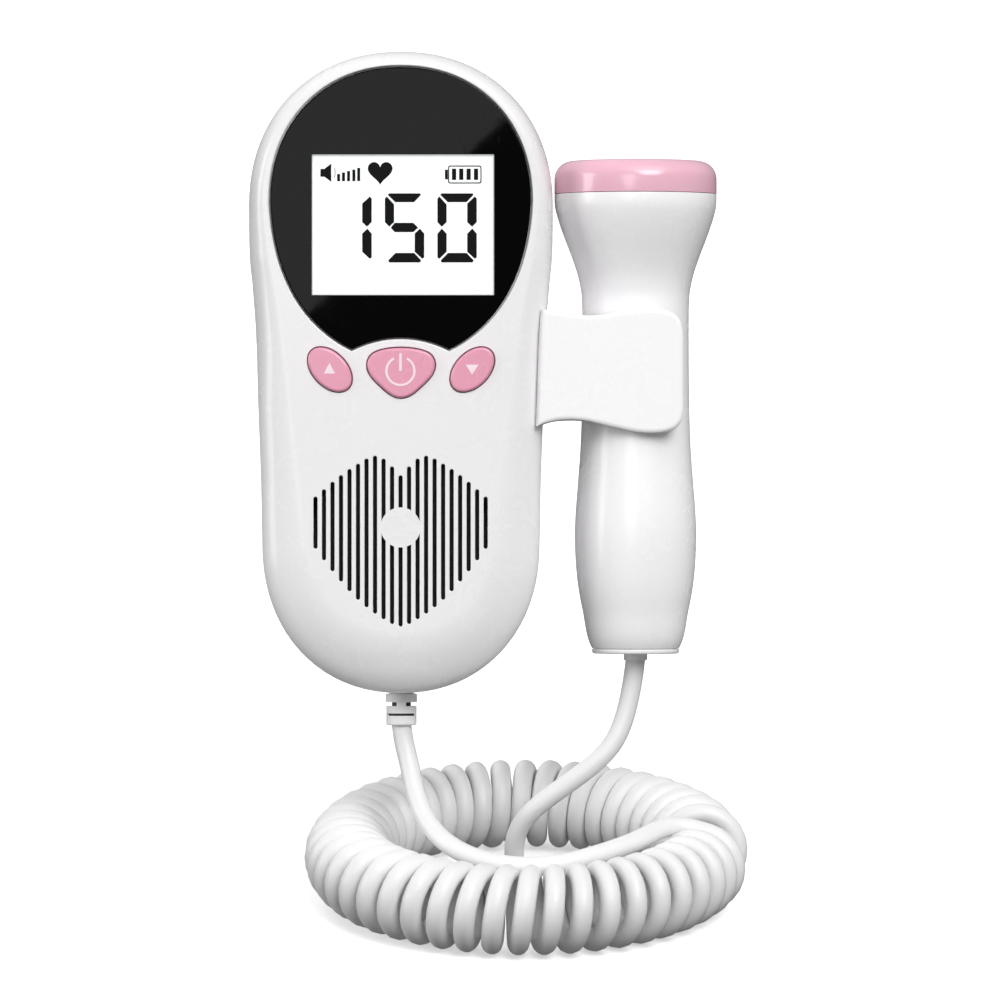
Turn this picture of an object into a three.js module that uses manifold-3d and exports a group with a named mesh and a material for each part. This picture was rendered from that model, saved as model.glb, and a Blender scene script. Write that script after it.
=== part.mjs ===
// Fetal doppler monitor: hand unit, clip-on probe and curly cord
// Lengths are millimetres. In the device's frame x runs across the front, y from front to back and z up.
// The device leans back on its mount, and the curly cord lies in a ring on the level surface below.

import * as THREE from 'three';
import { mergeVertices } from 'three/addons/utils/BufferGeometryUtils.js';
import Module from 'manifold-3d';

const wasm = await Module();
wasm.setup();

// Driving dimensions of the hand unit
const unitHeight = 135;
const unitUpperWidth = 64;
const unitLowerWidth = 58.4;
const unitDepth = 32;
const unitTopCurveHeight = 32.6;
const unitBottomCurveHeight = 31.5;
const unitLean = THREE.MathUtils.degToRad(-15);
const mountHeight = 34;

// Moulded housing
const housingWall = 2;
const frontWall = 2.4;
const frontRoundWidth = 3;
const frontRoundDepth = 7;
const backRoundWidth = 5;
const backRoundDepth = 6.5;
const seamDepth = 16;
const clearance = 0.3;
const overrun = 1;
const outlinePower = 2.14;
const sideShares = [[0.2, 0.1], [0.41, 0.3], [0.62, 0.46], [0.77, 0.74], [0.85, 0.94]];

// Screen
const lensWidth = 55.2;
const lensTopCurveHeight = 28.8;
const lensWidestHeight = 35.7;
const lensThickness = 1.3;
const lensSeatDepth = 1.4;
const cuspHalfWidth = 10.2;
const cuspHeight = 4.7;
const notchRise = 2.5;
const lensFlankShares = [[0.978, 0.558], [0.797, 0.187]];
const displayWidth = 38.6;
const displayHeight = 29.8;
const displayOffset = 0.4;
const displayMiddle = 31.1;
const displayBorder = 2;
const displayModuleDepth = 5;

// Buttons
const buttonTravel = 0.8;
const buttonProud = 0.7;
const buttonBevel = 0.5;
const powerButtonWidth = 14.8;
const powerButtonHeight = 11.1;
const powerOutlineShares = [
  [0, 1], [0.45, 0.91], [0.8, 0.7], [0.98, 0.4], [0.97, 0.1], [0.78, -0.28], [0.5, -0.68], [0.23, -0.93], [0, -1],
];
const volumeButtonLength = 10.8;
const volumeButtonWidth = 8.4;
const volumeButtonSpacing = 29.9;
const volumeButtonHeight = 0.85;
const volumeButtonTilt = THREE.MathUtils.degToRad(45);
const flangeReach = 0.8;
const flangeThickness = 1;
const stemRadius = 1.4;
const stemLength = 1.3;
const switchSide = 6;

// Speaker grille in the outline of a heart
const slotPitch = 1.784;
const slotWidth = 0.77;
const heartTop = -17.6;
const heartHeight = 35.8;
const heartTopShares = [0.115, 0.063, 0.017, 0, 0.017, 0.047, 0.078, 0.114, 0.153, 0.197, 0.24];
const heartBottomShares = [1, 0.985, 0.957, 0.924, 0.887, 0.843, 0.793, 0.736, 0.676, 0.612, 0.544];
const grilleDiscRadius = 4.2;
const grilleDiscHeight = -32.6;
const speakerRadius = 17.4;
const speakerHeight = -35;
const speakerRimThickness = 1.6;
const speakerRingWall = 1.2;
const speakerRingHeight = 4.4;

// Cells, their compartment and its cover
const cellRadius = 7.25;
const cellLength = 50.5;
const cellNubRadius = 2.75;
const cellNubLength = 1.2;
const contactThickness = 0.6;
const contactBump = 2.2;
const contactBumpRadius = 3.4;
const compartmentRise = 15.5;
const compartmentWall = 2.4;
const compartmentFloor = 1.5;
const coverThickness = 1.9;
const coverMargin = 2;
const coverCornerRadius = 4;
const gripWidth = 15;
const gripHeight = 9;
const gripDepth = 0.8;
const gripRibWidth = 0.9;
const gripRibCount = 4;
const latchSlitWidth = 0.7;
const latchSlitLength = 9;
const latchSlitSpacing = 20;

// Boards, screws and jack
const boardThickness = 1.6;
const boardWidth = 48;
const boardBottom = -12;
const boardTop = 56;
const bossRadius = 3;
const upperBossSpread = 20;
const upperBossHeight = 53;
const lowerBossSpread = 22.5;
const lowerBossRise = 22.5;
const screwRadius = 1.1;
const screwHeadRadius = 2.2;
const screwHeadThickness = 1.6;
const screwLength = 14;
const screwSinkDepth = 6;
const screwRecessRadius = 1;
const screwRecessDepth = 0.9;
const jackHeight = 20;
const jackDepthPlace = 10;
const jackRadius = 1.75;
const jackBarrelRadius = 2.9;
const jackBodyLength = 12;
const jackBodyWidth = 6;

// Probe
const probeSpread = 49.5;
const probeDepthPlace = 17.5;
const probeTop = 44.75;
const probeCapSeam = 37.8;
const probeCapCorner = 4.2;
const probeHeadRadius = 17.16;
const probeBottom = -59.3;
const probeWaistRadius = 11.37;
const probeBulgeRadius = 12.85;
const probeEndRadius = 9.2;
const probeWall = 1.8;
const probeWaistTop = 15.9;
const probeWaistBottom = -6.8;
const probeBulgeHeight = -34.6;
const probeEndSeam = 1.1;
const neckShares = [[0.12, 0.98], [0.25, 0.86], [0.42, 0.64], [0.6, 0.38], [0.78, 0.15], [0.9, 0.05]];
const bulgeShares = [[0.3, 0.17], [0.6, 0.56], [0.8, 0.86]];
const tailShares = [[0.3, 0.91], [0.5, 0.75], [0.7, 0.5], [0.84, 0.35], [0.93, 0.2]];
const carrierThickness = 5;
const crystalThickness = 1.2;
const crystalRadius = 11;
const crystalSlit = 1.2;
const probeBoardWidth = 13;
const probeBoardLength = 62;
const probeBoardThickness = 1.2;

// Clip that holds the probe
const clipReach = 30.6;
const clipRoot = 28.7;
const clipHalfHeight = 12.9;
const clipMiddle = 0.25;
const clipArmThickness = 2.2;
const clipGrip = 0.63;
const clipTipRound = 0.9;
const clipTopShares = [
  [0, 1.02], [0.04, 1], [0.18, 0.95], [0.32, 0.905], [0.42, 0.905], [0.56, 0.965], [0.72, 1], [0.86, 0.99],
];
const clipTipShares = [[0.945, 0.92], [0.985, 0.79], [1, 0.62]];
const clipTipLowerShares = [[1, -0.64], [0.985, -0.82], [0.94, -0.94]];
const clipBottomShares = [
  [0.86, -1], [0.7, -1], [0.56, -0.935], [0.44, -0.87], [0.32, -0.805], [0.2, -0.795], [0.1, -0.82], [0, -0.9],
];
const clipScrewSpacing = 14;
const clipScrewDepthPlace = 10;
const clipScrewLength = 6;

// Strain reliefs
const reliefFlangeRadius = 4.4;
const reliefFlangeThickness = 1.5;
const reliefNeckRadius = 2.6;
const reliefRibRadius = 3.3;
const reliefTipRadius = 3;
const reliefGrooveRadius = 2.35;
const reliefLength = 6.3;
const reliefStepShares = [0.21, 0.4, 0.64, 0.74];
const probeReliefRadius = 2.5;
const probeReliefLength = 1.05;

// Curly cord
const cordDiameter = 4;
const ringRadius = 37.8;
const curlOuterRadius = 9.4;
const ringCentre = new THREE.Vector3(26.6, -32, -97.5);
const ringStart = THREE.MathUtils.degToRad(11.3);
const curlPitch = THREE.MathUtils.degToRad(360 / 46);
const firstCurlStart = THREE.MathUtils.degToRad(78);
const curlCount = 43 + 7 / 15;
const leadRun = 2.6;
const curlSteps = 8;
const curlSides = 5;
const lastCurlStretch = 0.8;
const leadSides = 8;

// Free leads: points chosen by hand along the cord, from each strain relief to the curls
const unitLeadPoints = [
  [0.5, -35.9, -71.4], [1.7, -37.9, -75.2], [2.5, -40.6, -79.1], [3.7, -43.6, -82.6], [5.6, -47.2, -85.6],
  [8.6, -51, -88.1], [12.6, -54.4, -89.8], [17.9, -57.4, -91], [24.2, -59.1, -91.5], [31.4, -58.7, -91.5],
  [38.2, -55.7, -90.9], [44.6, -51.4, -90.2], [50.1, -46.7, -89.6], [52.5, -41, -88.5], [55, -38.3, -88.5],
];
const probeLeadPoints = [
  [48.9, -33.9, -58.3], [47.6, -36, -64.2], [45.9, -38, -68.7], [43.6, -39.4, -72], [40.4, -40.3, -74.9],
  [36.4, -40.7, -78], [32, -40.6, -81.3], [28.2, -40, -84.6], [25.4, -39, -88.2], [24, -38, -92.2],
  [23.8, -37.2, -96.4], [25, -36.6, -100.4], [27.8, -36.2, -103], [32, -35.9, -104.4], [37, -35.6, -104.8],
  [42.4, -35.3, -104.9],
];

// Materials
const finish = (color, roughness, metalness = 0) => new THREE.MeshStandardMaterial({ color, roughness, metalness });
const whiteGloss = () => finish(0xf4f2f2, 0.22);
const pinkGloss = () => finish(0xe5a0b8, 0.25);
const clearPink = () => finish(0xf0a9c2, 0.15);
const blackGloss = () => finish(0x0a0a0b, 0.06);
const paleRubber = () => finish(0xe9e9ea, 0.5);
const boardGreen = () => finish(0x1f6b3c, 0.5);
const darkPlastic = () => finish(0x222326, 0.5);
const greyMetal = () => finish(0xb4b6ba, 0.32, 1);
const displayGrey = () => finish(0xdfe6e2, 0.3);
const cellWrap = () => finish(0x3c4148, 0.35);
const ceramic = () => finish(0xd8d3c4, 0.45);

// Closed bodies: shared corners are merged, and faces are turned outwards
function closed(geometry) {
  const bare = geometry.clone();
  bare.deleteAttribute('normal');
  bare.deleteAttribute('uv');
  const merged = mergeVertices(bare);
  const place = merged.getAttribute('position');
  const kept = [];
  const corner = [new THREE.Vector3(), new THREE.Vector3(), new THREE.Vector3()];
  let volume = 0;
  for (let i = 0; i < merged.index.count; i += 3) {
    const [a, b, c] = [0, 1, 2].map((k) => merged.index.getX(i + k));
    if (a === b || b === c || c === a) continue;
    kept.push(a, b, c);
    [a, b, c].forEach((vertex, k) => corner[k].fromBufferAttribute(place, vertex));
    volume += corner[0].dot(corner[1].clone().cross(corner[2]));
  }
  if (volume < 0) kept.reverse();
  merged.setIndex(kept);
  return merged;
}

function toSolid(geometry) {
  const body = closed(geometry);
  return new wasm.Manifold(new wasm.Mesh({
    numProp: 3,
    vertProperties: new Float32Array(body.getAttribute('position').array),
    triVerts: new Uint32Array(body.index.array),
  }));
}

function toGeometry(solid) {
  const mesh = solid.getMesh();
  const geometry = new THREE.BufferGeometry();
  geometry.setAttribute('position', new THREE.BufferAttribute(new Float32Array(mesh.vertProperties), 3));
  geometry.setIndex(new THREE.BufferAttribute(new Uint32Array(mesh.triVerts), 1));
  geometry.computeVertexNormals();
  return geometry;
}

const joined = (first, ...others) => others.reduce((whole, piece) => whole.add(piece), first);
const cut = (first, ...others) => others.reduce((whole, piece) => whole.subtract(piece), first);

function piece(name, body, material) {
  const geometry = body.isBufferGeometry ? closed(body) : toGeometry(body);
  geometry.computeVertexNormals();
  const mesh = new THREE.Mesh(geometry, material);
  mesh.name = name;
  return mesh;
}

// Plates lie in the front plane, from one depth to another
function plate(shape, front, back, curveSegments = 8) {
  const geometry = new THREE.ExtrudeGeometry(shape, { depth: back - front, bevelEnabled: false, curveSegments });
  return geometry.rotateX(Math.PI / 2).translate(0, back, 0);
}

function block(left, right, front, back, bottom, top) {
  const geometry = new THREE.BoxGeometry(right - left, back - front, top - bottom);
  return geometry.translate((left + right) / 2, (front + back) / 2, (bottom + top) / 2);
}

function rod(radius, x, z, front, back, segments = 16) {
  const geometry = new THREE.CylinderGeometry(radius, radius, back - front, segments);
  return geometry.translate(x, (front + back) / 2, z);
}

// Turned pieces stand along z: a profile is a list of radius and height
function turned(profile, segments = 28) {
  const points = profile.map(([radius, height]) => new THREE.Vector2(radius, height));
  return new THREE.LatheGeometry(points, segments).rotateX(Math.PI / 2);
}

const shapeOf = (points) => new THREE.Shape(points);

function roundedRectangle(left, right, bottom, top, radius) {
  const shape = new THREE.Shape();
  shape.moveTo(left + radius, bottom);
  shape.lineTo(right - radius, bottom);
  shape.absarc(right - radius, bottom + radius, radius, -Math.PI / 2, 0);
  shape.absarc(right - radius, top - radius, radius, 0, Math.PI / 2);
  shape.absarc(left + radius, top - radius, radius, Math.PI / 2, Math.PI);
  shape.absarc(left + radius, bottom + radius, radius, Math.PI, Math.PI * 1.5);
  return shape;
}

// A loop grown outwards by a distance, or drawn in by a negative one
function grown(loop, distance) {
  const count = loop.length;
  return loop.map((point, i) => {
    const before = point.clone().sub(loop[(i + count - 1) % count]).normalize();
    const after = loop[(i + 1) % count].clone().sub(point).normalize();
    const outward = new THREE.Vector2(before.y + after.y, -before.x - after.x).normalize();
    const spread = Math.max(outward.x * after.y - outward.y * after.x, 0.6);
    return point.clone().addScaledVector(outward, distance / spread);
  });
}

// The right half of a loop, from bottom to top, completed with its mirror image
function mirrored(half) {
  const left = half.slice(1, -1).reverse().map((point) => new THREE.Vector2(-point.x, point.y));
  return [...half, ...left];
}

function curveQuarter(width, height, steps) {
  return Array.from({ length: steps + 1 }, (_, i) => {
    const angle = (i / steps) * Math.PI / 2;
    const bow = (value) => Math.pow(Math.max(value, 0), 2 / outlinePower);
    return new THREE.Vector2(width * bow(Math.cos(angle)), i === steps ? height : height * bow(Math.sin(angle)));
  }).map((point, i) => (i === steps ? point.setX(0) : point));
}

// Hand unit's outline
const upperHalf = unitUpperWidth / 2;
const lowerHalf = unitLowerWidth / 2;
const widestHeight = unitHeight / 2 - unitTopCurveHeight;
const lowestSide = unitBottomCurveHeight - unitHeight / 2;

function unitOutline() {
  const bottom = curveQuarter(lowerHalf, unitBottomCurveHeight, 10)
    .map((point) => new THREE.Vector2(point.x, lowestSide - point.y)).reverse();
  const side = sideShares.map(([rise, widening]) => new THREE.Vector2(
    lowerHalf + (upperHalf - lowerHalf) * widening,
    lowestSide + (widestHeight - lowestSide) * rise,
  ));
  const top = curveQuarter(upperHalf, unitTopCurveHeight, 12)
    .map((point) => new THREE.Vector2(point.x, widestHeight + point.y));
  return mirrored([...bottom, ...side, ...top]);
}

const outline = unitOutline();

// Half of the unit's width at a height
function halfWidthAt(height) {
  const after = outline.findIndex((point, i) => i > 0 && point.y >= height);
  const [low, high] = [outline[after - 1], outline[after]];
  return low.x + (high.x - low.x) * (height - low.y) / (high.y - low.y);
}

const frontFace = -unitDepth;
const seam = -seamDepth;

// The edges roll over in elliptic quarter rounds towards the front and the back
function rollAt(depth) {
  const toFront = Math.max(frontFace + frontRoundDepth - depth, 0) / frontRoundDepth;
  const toBack = Math.max(depth + backRoundDepth, 0) / backRoundDepth;
  const roll = (amount) => 1 - Math.sqrt(Math.max(1 - Math.min(amount, 1) ** 2, 0));
  return frontRoundWidth * roll(toFront) + backRoundWidth * roll(toBack);
}

function stations(front, back, steps) {
  const places = [front, back];
  for (let i = 0; i <= steps; i += 1) {
    const angle = (i / steps) * Math.PI / 2;
    places.push(frontFace + frontRoundDepth * (1 - Math.cos(angle)));
    places.push(-backRoundDepth * (1 - Math.cos(angle)));
  }
  return places.filter((place) => place >= front && place <= back)
    .sort((a, b) => a - b)
    .filter((place, i, all) => i === 0 || place - all[i - 1] > clearance / 3);
}

function lofted(loops, depths) {
  const count = loops[0].length;
  const places = [];
  loops.forEach((loop, i) => loop.forEach((point) => places.push(point.x, depths[i], point.y)));
  const index = [];
  for (let i = 0; i + 1 < loops.length; i += 1) {
    for (let j = 0; j < count; j += 1) {
      const [a, b] = [i * count + j, i * count + (j + 1) % count];
      index.push(a, b + count, b, a, a + count, b + count);
    }
  }
  const cap = (loop, start, facingFront) => THREE.ShapeUtils.triangulateShape(loop, []).forEach(([a, b, c]) => {
    index.push(...(facingFront ? [a, b, c] : [a, c, b]).map((vertex) => vertex + start));
  });
  cap(loops[0], 0, true);
  cap(loops[loops.length - 1], (loops.length - 1) * count, false);
  const geometry = new THREE.BufferGeometry();
  geometry.setAttribute('position', new THREE.Float32BufferAttribute(places, 3));
  geometry.setIndex(index);
  return geometry;
}

function unitBody(front, back, inset, steps) {
  const depths = stations(front, back, steps);
  const loops = depths.map((depth) => grown(outline, -(rollAt(depth) + inset)));
  return toSolid(lofted(loops, depths));
}

// Screen lens outline: an arched top, flanks that sweep in to two cusps, and a notch over the power button
function lensOutline() {
  const top = curveQuarter(lensWidth / 2, lensTopCurveHeight, 12)
    .map((point) => new THREE.Vector2(point.x, lensWidestHeight + point.y));
  const drop = lensWidestHeight - cuspHeight;
  const flankPoint = ([across, down]) => new THREE.Vector2(lensWidth / 2 * across, cuspHeight + drop * down);
  const flank = new THREE.CubicBezierCurve(
    new THREE.Vector2(cuspHalfWidth, cuspHeight), flankPoint(lensFlankShares[1]),
    flankPoint(lensFlankShares[0]), new THREE.Vector2(lensWidth / 2, lensWidestHeight),
  ).getPoints(12);
  const notchRadius = (cuspHalfWidth ** 2 + notchRise ** 2) / (2 * notchRise);
  const notchHalfAngle = Math.asin(cuspHalfWidth / notchRadius);
  const notch = [0, 0.34, 0.67].map((share) => new THREE.Vector2(
    notchRadius * Math.sin(notchHalfAngle * share),
    cuspHeight + notchRise - notchRadius * (1 - Math.cos(notchHalfAngle * share)),
  ));
  return mirrored([...notch, ...flank, ...top.slice(1)]);
}

// Button outlines, about each button's own middle
function powerOutline() {
  const half = powerOutlineShares.map(([across, up]) => new THREE.Vector2(
    powerButtonWidth / 2 * across, powerButtonHeight / 2 * up,
  ));
  const right = new THREE.SplineCurve(half.slice().reverse()).getPoints(16);
  return mirrored(right);
}

function volumeOutline(tilt) {
  return new THREE.EllipseCurve(0, 0, volumeButtonLength / 2, volumeButtonWidth / 2, 0, Math.PI * 2, false, tilt)
    .getPoints(28).slice(0, -1);
}

const moved = (loop, x, z) => loop.map((point) => new THREE.Vector2(point.x + x, point.y + z));

const volumeSpread = volumeButtonSpacing / 2;
const buttons = [
  { name: 'power', outline: powerOutline(), x: 0, z: 0 },
  { name: 'volume_up', outline: volumeOutline(-volumeButtonTilt), x: -volumeSpread, z: volumeButtonHeight },
  { name: 'volume_down', outline: volumeOutline(volumeButtonTilt), x: volumeSpread, z: volumeButtonHeight },
];

// Depths inside the hand unit, from the front face to the back
const wallInside = frontFace + frontWall;
const moduleFront = wallInside + clearance;
const boardFront = moduleFront + displayModuleDepth + clearance;
const boardBack = boardFront + boardThickness;
const switchFront = wallInside + clearance * 2 + flangeThickness + buttonTravel;
const stemRest = wallInside + clearance + flangeThickness + stemLength;
const wellBottom = stemRest + buttonTravel + clearance;
const cellMiddleDepth = -(coverThickness + clearance + cellRadius);
const compartmentDeepest = cellMiddleDepth - cellRadius - clearance;
const compartmentHalfWidth = cellRadius * 2 + clearance * 1.5;
const compartmentBottom = compartmentRise - unitHeight / 2;
const compartmentLength = clearance * 4 + contactThickness * 2 + contactBump + cellLength;
const compartmentTop = compartmentBottom + compartmentLength;
const coverHalfWidth = compartmentHalfWidth + coverMargin;
const ledge = -(coverThickness + clearance);

const lowerBossHeight = lowerBossRise - unitHeight / 2;
const screwPlaces = [
  [-upperBossSpread, upperBossHeight], [upperBossSpread, upperBossHeight],
  [-lowerBossSpread, lowerBossHeight], [lowerBossSpread, lowerBossHeight],
];

// Front housing
function slotPlate(x, bottom, top) {
  const radius = slotWidth / 2;
  const shape = new THREE.Shape();
  shape.absarc(x, top - radius, radius, 0, Math.PI);
  shape.absarc(x, bottom + radius, radius, Math.PI, Math.PI * 2);
  return toSolid(plate(shape, frontFace - overrun, wallInside + overrun, 2));
}

function grilleSlots() {
  const slots = [];
  const columns = heartTopShares.length - 1;
  for (let column = -columns; column <= columns; column += 1) {
    const x = column * slotPitch;
    const top = heartTop - heartHeight * heartTopShares[Math.abs(column)];
    const bottom = heartTop - heartHeight * heartBottomShares[Math.abs(column)];
    const halfGap = Math.sqrt(Math.max(grilleDiscRadius ** 2 - x ** 2, 0));
    if (halfGap > 0) {
      slots.push(slotPlate(x, grilleDiscHeight + halfGap, top), slotPlate(x, bottom, grilleDiscHeight - halfGap));
    } else {
      slots.push(slotPlate(x, bottom, top));
    }
  }
  return slots;
}

function reliefHole() {
  const hole = new THREE.CylinderGeometry(
    reliefNeckRadius + clearance, reliefNeckRadius + clearance, housingWall * 2 + overrun * 2, 20,
  );
  return toSolid(hole.rotateX(Math.PI / 2).translate(0, seam, -unitHeight / 2 + housingWall));
}

function frontHousing() {
  const shell = cut(
    unitBody(frontFace, seam, 0, 5),
    unitBody(wallInside, seam + overrun, housingWall, 3),
  );
  const rim = toSolid(rod(speakerRadius + clearance + speakerRingWall, 0, speakerHeight,
    wallInside - clearance, wallInside + speakerRingHeight, 28));
  const rimBore = toSolid(rod(speakerRadius + clearance, 0, speakerHeight,
    wallInside, wallInside + speakerRingHeight + overrun, 28));
  const bosses = screwPlaces.map(([x, z]) => toSolid(rod(bossRadius, x, z, wallInside - clearance, seam)));
  const posts = [-1, 1].map((side) => toSolid(rod(
    bossRadius * 0.7, side * (boardWidth / 2 - bossRadius), boardBottom + bossRadius,
    wallInside - clearance, boardFront - clearance,
  )));
  const lensSeat = toSolid(plate(
    shapeOf(grown(lensOutline(), clearance)), frontFace - overrun, frontFace + lensSeatDepth,
  ));
  const windowHalf = displayWidth / 2 + clearance;
  const window = toSolid(block(displayOffset - windowHalf, displayOffset + windowHalf,
    frontFace, wallInside + overrun,
    displayMiddle - displayHeight / 2 - clearance, displayMiddle + displayHeight / 2 + clearance));
  const buttonHoles = buttons.map(({ outline: loop, x, z }) => toSolid(plate(
    shapeOf(moved(grown(loop, clearance), x, z)), frontFace - overrun, wallInside + overrun,
  )));
  const pilots = screwPlaces.map(([x, z]) => toSolid(rod(
    screwRadius + clearance, x, z, wallInside + clearance, seam + overrun, 10,
  )));
  return cut(
    joined(shell, cut(rim, rimBore), ...bosses, ...posts),
    lensSeat, window, ...buttonHoles, ...grilleSlots(), ...pilots, reliefHole(),
  );
}

// Rear housing with the cell compartment
function compartmentBlock(grow, front, back) {
  return block(-compartmentHalfWidth - grow, compartmentHalfWidth + grow, front, back,
    compartmentBottom - grow, compartmentTop + grow);
}

function coverLoop(grow) {
  return roundedRectangle(-coverHalfWidth - grow, coverHalfWidth + grow,
    compartmentBottom - coverMargin - grow, compartmentTop + coverMargin + grow, coverCornerRadius + grow);
}

function sideHole(radius, x, depth, z, length) {
  return new THREE.CylinderGeometry(radius, radius, length, 16).rotateZ(Math.PI / 2).translate(x, depth, z);
}

const clipScrewHeights = [clipMiddle - clipScrewSpacing / 2, clipMiddle + clipScrewSpacing / 2];

function rearHousing() {
  const shell = cut(
    unitBody(seam + clearance, 0, 0, 5),
    unitBody(seam - overrun, -housingWall, housingWall, 3),
  );
  const box = toSolid(compartmentBlock(compartmentWall, compartmentDeepest - compartmentFloor, -housingWall / 2));
  const room = toSolid(compartmentBlock(0, compartmentDeepest, overrun));
  const coverSeat = toSolid(plate(coverLoop(clearance), ledge, overrun, 3));
  const rearBossRadius = bossRadius + screwHeadRadius / 2;
  const bosses = screwPlaces.map(([x, z]) => toSolid(rod(rearBossRadius, x, z, seam + clearance, -housingWall / 2)));
  const shanks = screwPlaces.map(([x, z]) => toSolid(rod(screwRadius + clearance, x, z, seam - overrun, overrun, 10)));
  const sinks = screwPlaces.map(([x, z]) => toSolid(rod(
    screwHeadRadius + clearance, x, z, -screwSinkDepth, overrun, 12,
  )));
  const jackHole = toSolid(sideHole(
    jackBarrelRadius + clearance, -upperHalf, -jackDepthPlace, jackHeight, housingWall * 4,
  ));
  const clipHoles = clipScrewHeights.map((z) => toSolid(sideHole(
    screwRadius + clearance, lowerHalf, -clipScrewDepthPlace, z, housingWall * 4,
  )));
  return cut(
    joined(shell, box, ...bosses),
    room, coverSeat, ...shanks, ...sinks, jackHole, ...clipHoles, reliefHole(),
  );
}

function batteryCover() {
  const panel = toSolid(plate(coverLoop(0), -coverThickness, 0, 3));
  const gripMiddle = compartmentTop - gripHeight;
  const hollow = toSolid(plate(
    roundedRectangle(-gripWidth / 2, gripWidth / 2, gripMiddle - gripHeight / 2, gripMiddle + gripHeight / 2,
      gripHeight / 2 - gripRibWidth),
    -gripDepth, overrun, 4,
  ));
  const ribs = Array.from({ length: gripRibCount }, (_, i) => {
    const z = gripMiddle + gripHeight * ((i + 0.5) / gripRibCount - 0.5);
    return toSolid(block(-gripWidth / 2 + gripRibWidth, gripWidth / 2 - gripRibWidth,
      -coverThickness / 2, -gripDepth / 4, z - gripRibWidth / 2, z + gripRibWidth / 2));
  });
  const slits = [-1, 1].map((side) => toSolid(block(
    side * latchSlitSpacing / 2 - latchSlitWidth / 2, side * latchSlitSpacing / 2 + latchSlitWidth / 2,
    -coverThickness - overrun, overrun,
    compartmentTop + coverMargin - latchSlitLength, compartmentTop + coverMargin + overrun,
  )));
  return cut(joined(cut(panel, hollow), ...ribs), ...slits);
}

// Button: cap with a rounded edge, a flange that keeps it in the housing, and a stem to its switch
function button({ outline: loop }) {
  const cap = new THREE.ExtrudeGeometry(shapeOf(loop), {
    depth: frontWall + buttonProud + clearance * 2 - buttonBevel * 2,
    bevelEnabled: true,
    bevelThickness: buttonBevel,
    bevelSize: buttonBevel,
    bevelOffset: -buttonBevel,
    bevelSegments: 2,
  }).rotateX(Math.PI / 2).translate(0, wallInside + clearance * 2 - buttonBevel, 0);
  const flange = plate(shapeOf(grown(loop, flangeReach)), wallInside + clearance, wallInside + clearance + flangeThickness);
  const stem = rod(stemRadius, 0, 0, wallInside + clearance * 2, stemRest, 12);
  return joined(toSolid(cap), toSolid(flange), toSolid(stem));
}

function tactSwitch() {
  const half = switchSide / 2;
  const body = toSolid(block(-half, half, switchFront, boardFront - clearance, -half, half));
  const well = toSolid(rod(stemRadius + clearance, 0, 0, switchFront - overrun, wellBottom, 12));
  return cut(body, well);
}

function mainBoard() {
  const board = toSolid(plate(
    roundedRectangle(-boardWidth / 2, boardWidth / 2, boardBottom, boardTop, bossRadius), boardFront, boardBack, 3,
  ));
  const clipped = board.intersect(unitBody(boardFront - overrun, boardBack + overrun, housingWall + clearance * 2, 3));
  const notches = screwPlaces.slice(0, 2).map(([x, z]) => toSolid(rod(
    bossRadius + clearance, x, z, boardFront - overrun, boardBack + overrun,
  )));
  return cut(clipped, ...notches);
}

function displayModule() {
  const halfWidth = displayWidth / 2 + displayBorder;
  const halfHeight = displayHeight / 2 + displayBorder;
  return block(displayOffset - halfWidth, displayOffset + halfWidth, moduleFront, moduleFront + displayModuleDepth,
    displayMiddle - halfHeight, displayMiddle + halfHeight);
}

// Speaker: rim, hollow cone and magnet, turned about its own axis and laid to face the front
function speaker() {
  const back = compartmentDeepest - compartmentFloor - clearance;
  const depth = back - moduleFront;
  const magnetRadius = speakerRadius * 0.48;
  return turned([
    [0, depth * 0.45], [speakerRadius * 0.3, depth * 0.42], [speakerRadius * 0.86, speakerRimThickness * 0.5],
    [speakerRadius * 0.9, 0], [speakerRadius, 0], [speakerRadius, speakerRimThickness],
    [speakerRadius * 0.9, speakerRimThickness * 1.4], [magnetRadius, depth * 0.62], [magnetRadius, depth], [0, depth],
  ], 28).rotateX(-Math.PI / 2);
}

// Cells and their contacts
function cell() {
  return turned([
    [0, 0], [cellRadius, 0], [cellRadius, cellLength - cellNubLength],
    [cellNubRadius, cellLength - cellNubLength], [cellNubRadius, cellLength], [0, cellLength],
  ], 24);
}

function contactPlate(left, right, bumpX, facing) {
  const half = cellRadius - clearance * 2;
  const sheet = block(left, right, -half, half, 0, contactThickness);
  const springHeight = contactBump + contactThickness / 2;
  const spring = new THREE.CylinderGeometry(contactBumpRadius / 2, contactBumpRadius, springHeight, 12)
    .rotateX(Math.PI / 2).translate(0, 0, (springHeight + contactThickness) / 2);
  const body = bumpX === null ? toSolid(sheet) : joined(toSolid(sheet), toSolid(spring.translate(bumpX, 0, 0)));
  return facing > 0 ? toGeometry(body) : toGeometry(body).rotateY(Math.PI);
}

// Screws with a cross recess left plain: a turned head and shank
function screw(length) {
  return turned([
    [0, 0], [screwRadius * 0.6, 0], [screwRadius, screwRadius], [screwRadius, length],
    [screwHeadRadius, length], [screwHeadRadius * 0.8, length + screwHeadThickness],
    [screwRecessRadius, length + screwHeadThickness], [screwRecessRadius, length + screwHeadThickness - screwRecessDepth],
    [0, length + screwHeadThickness - screwRecessDepth],
  ], 10);
}

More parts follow.
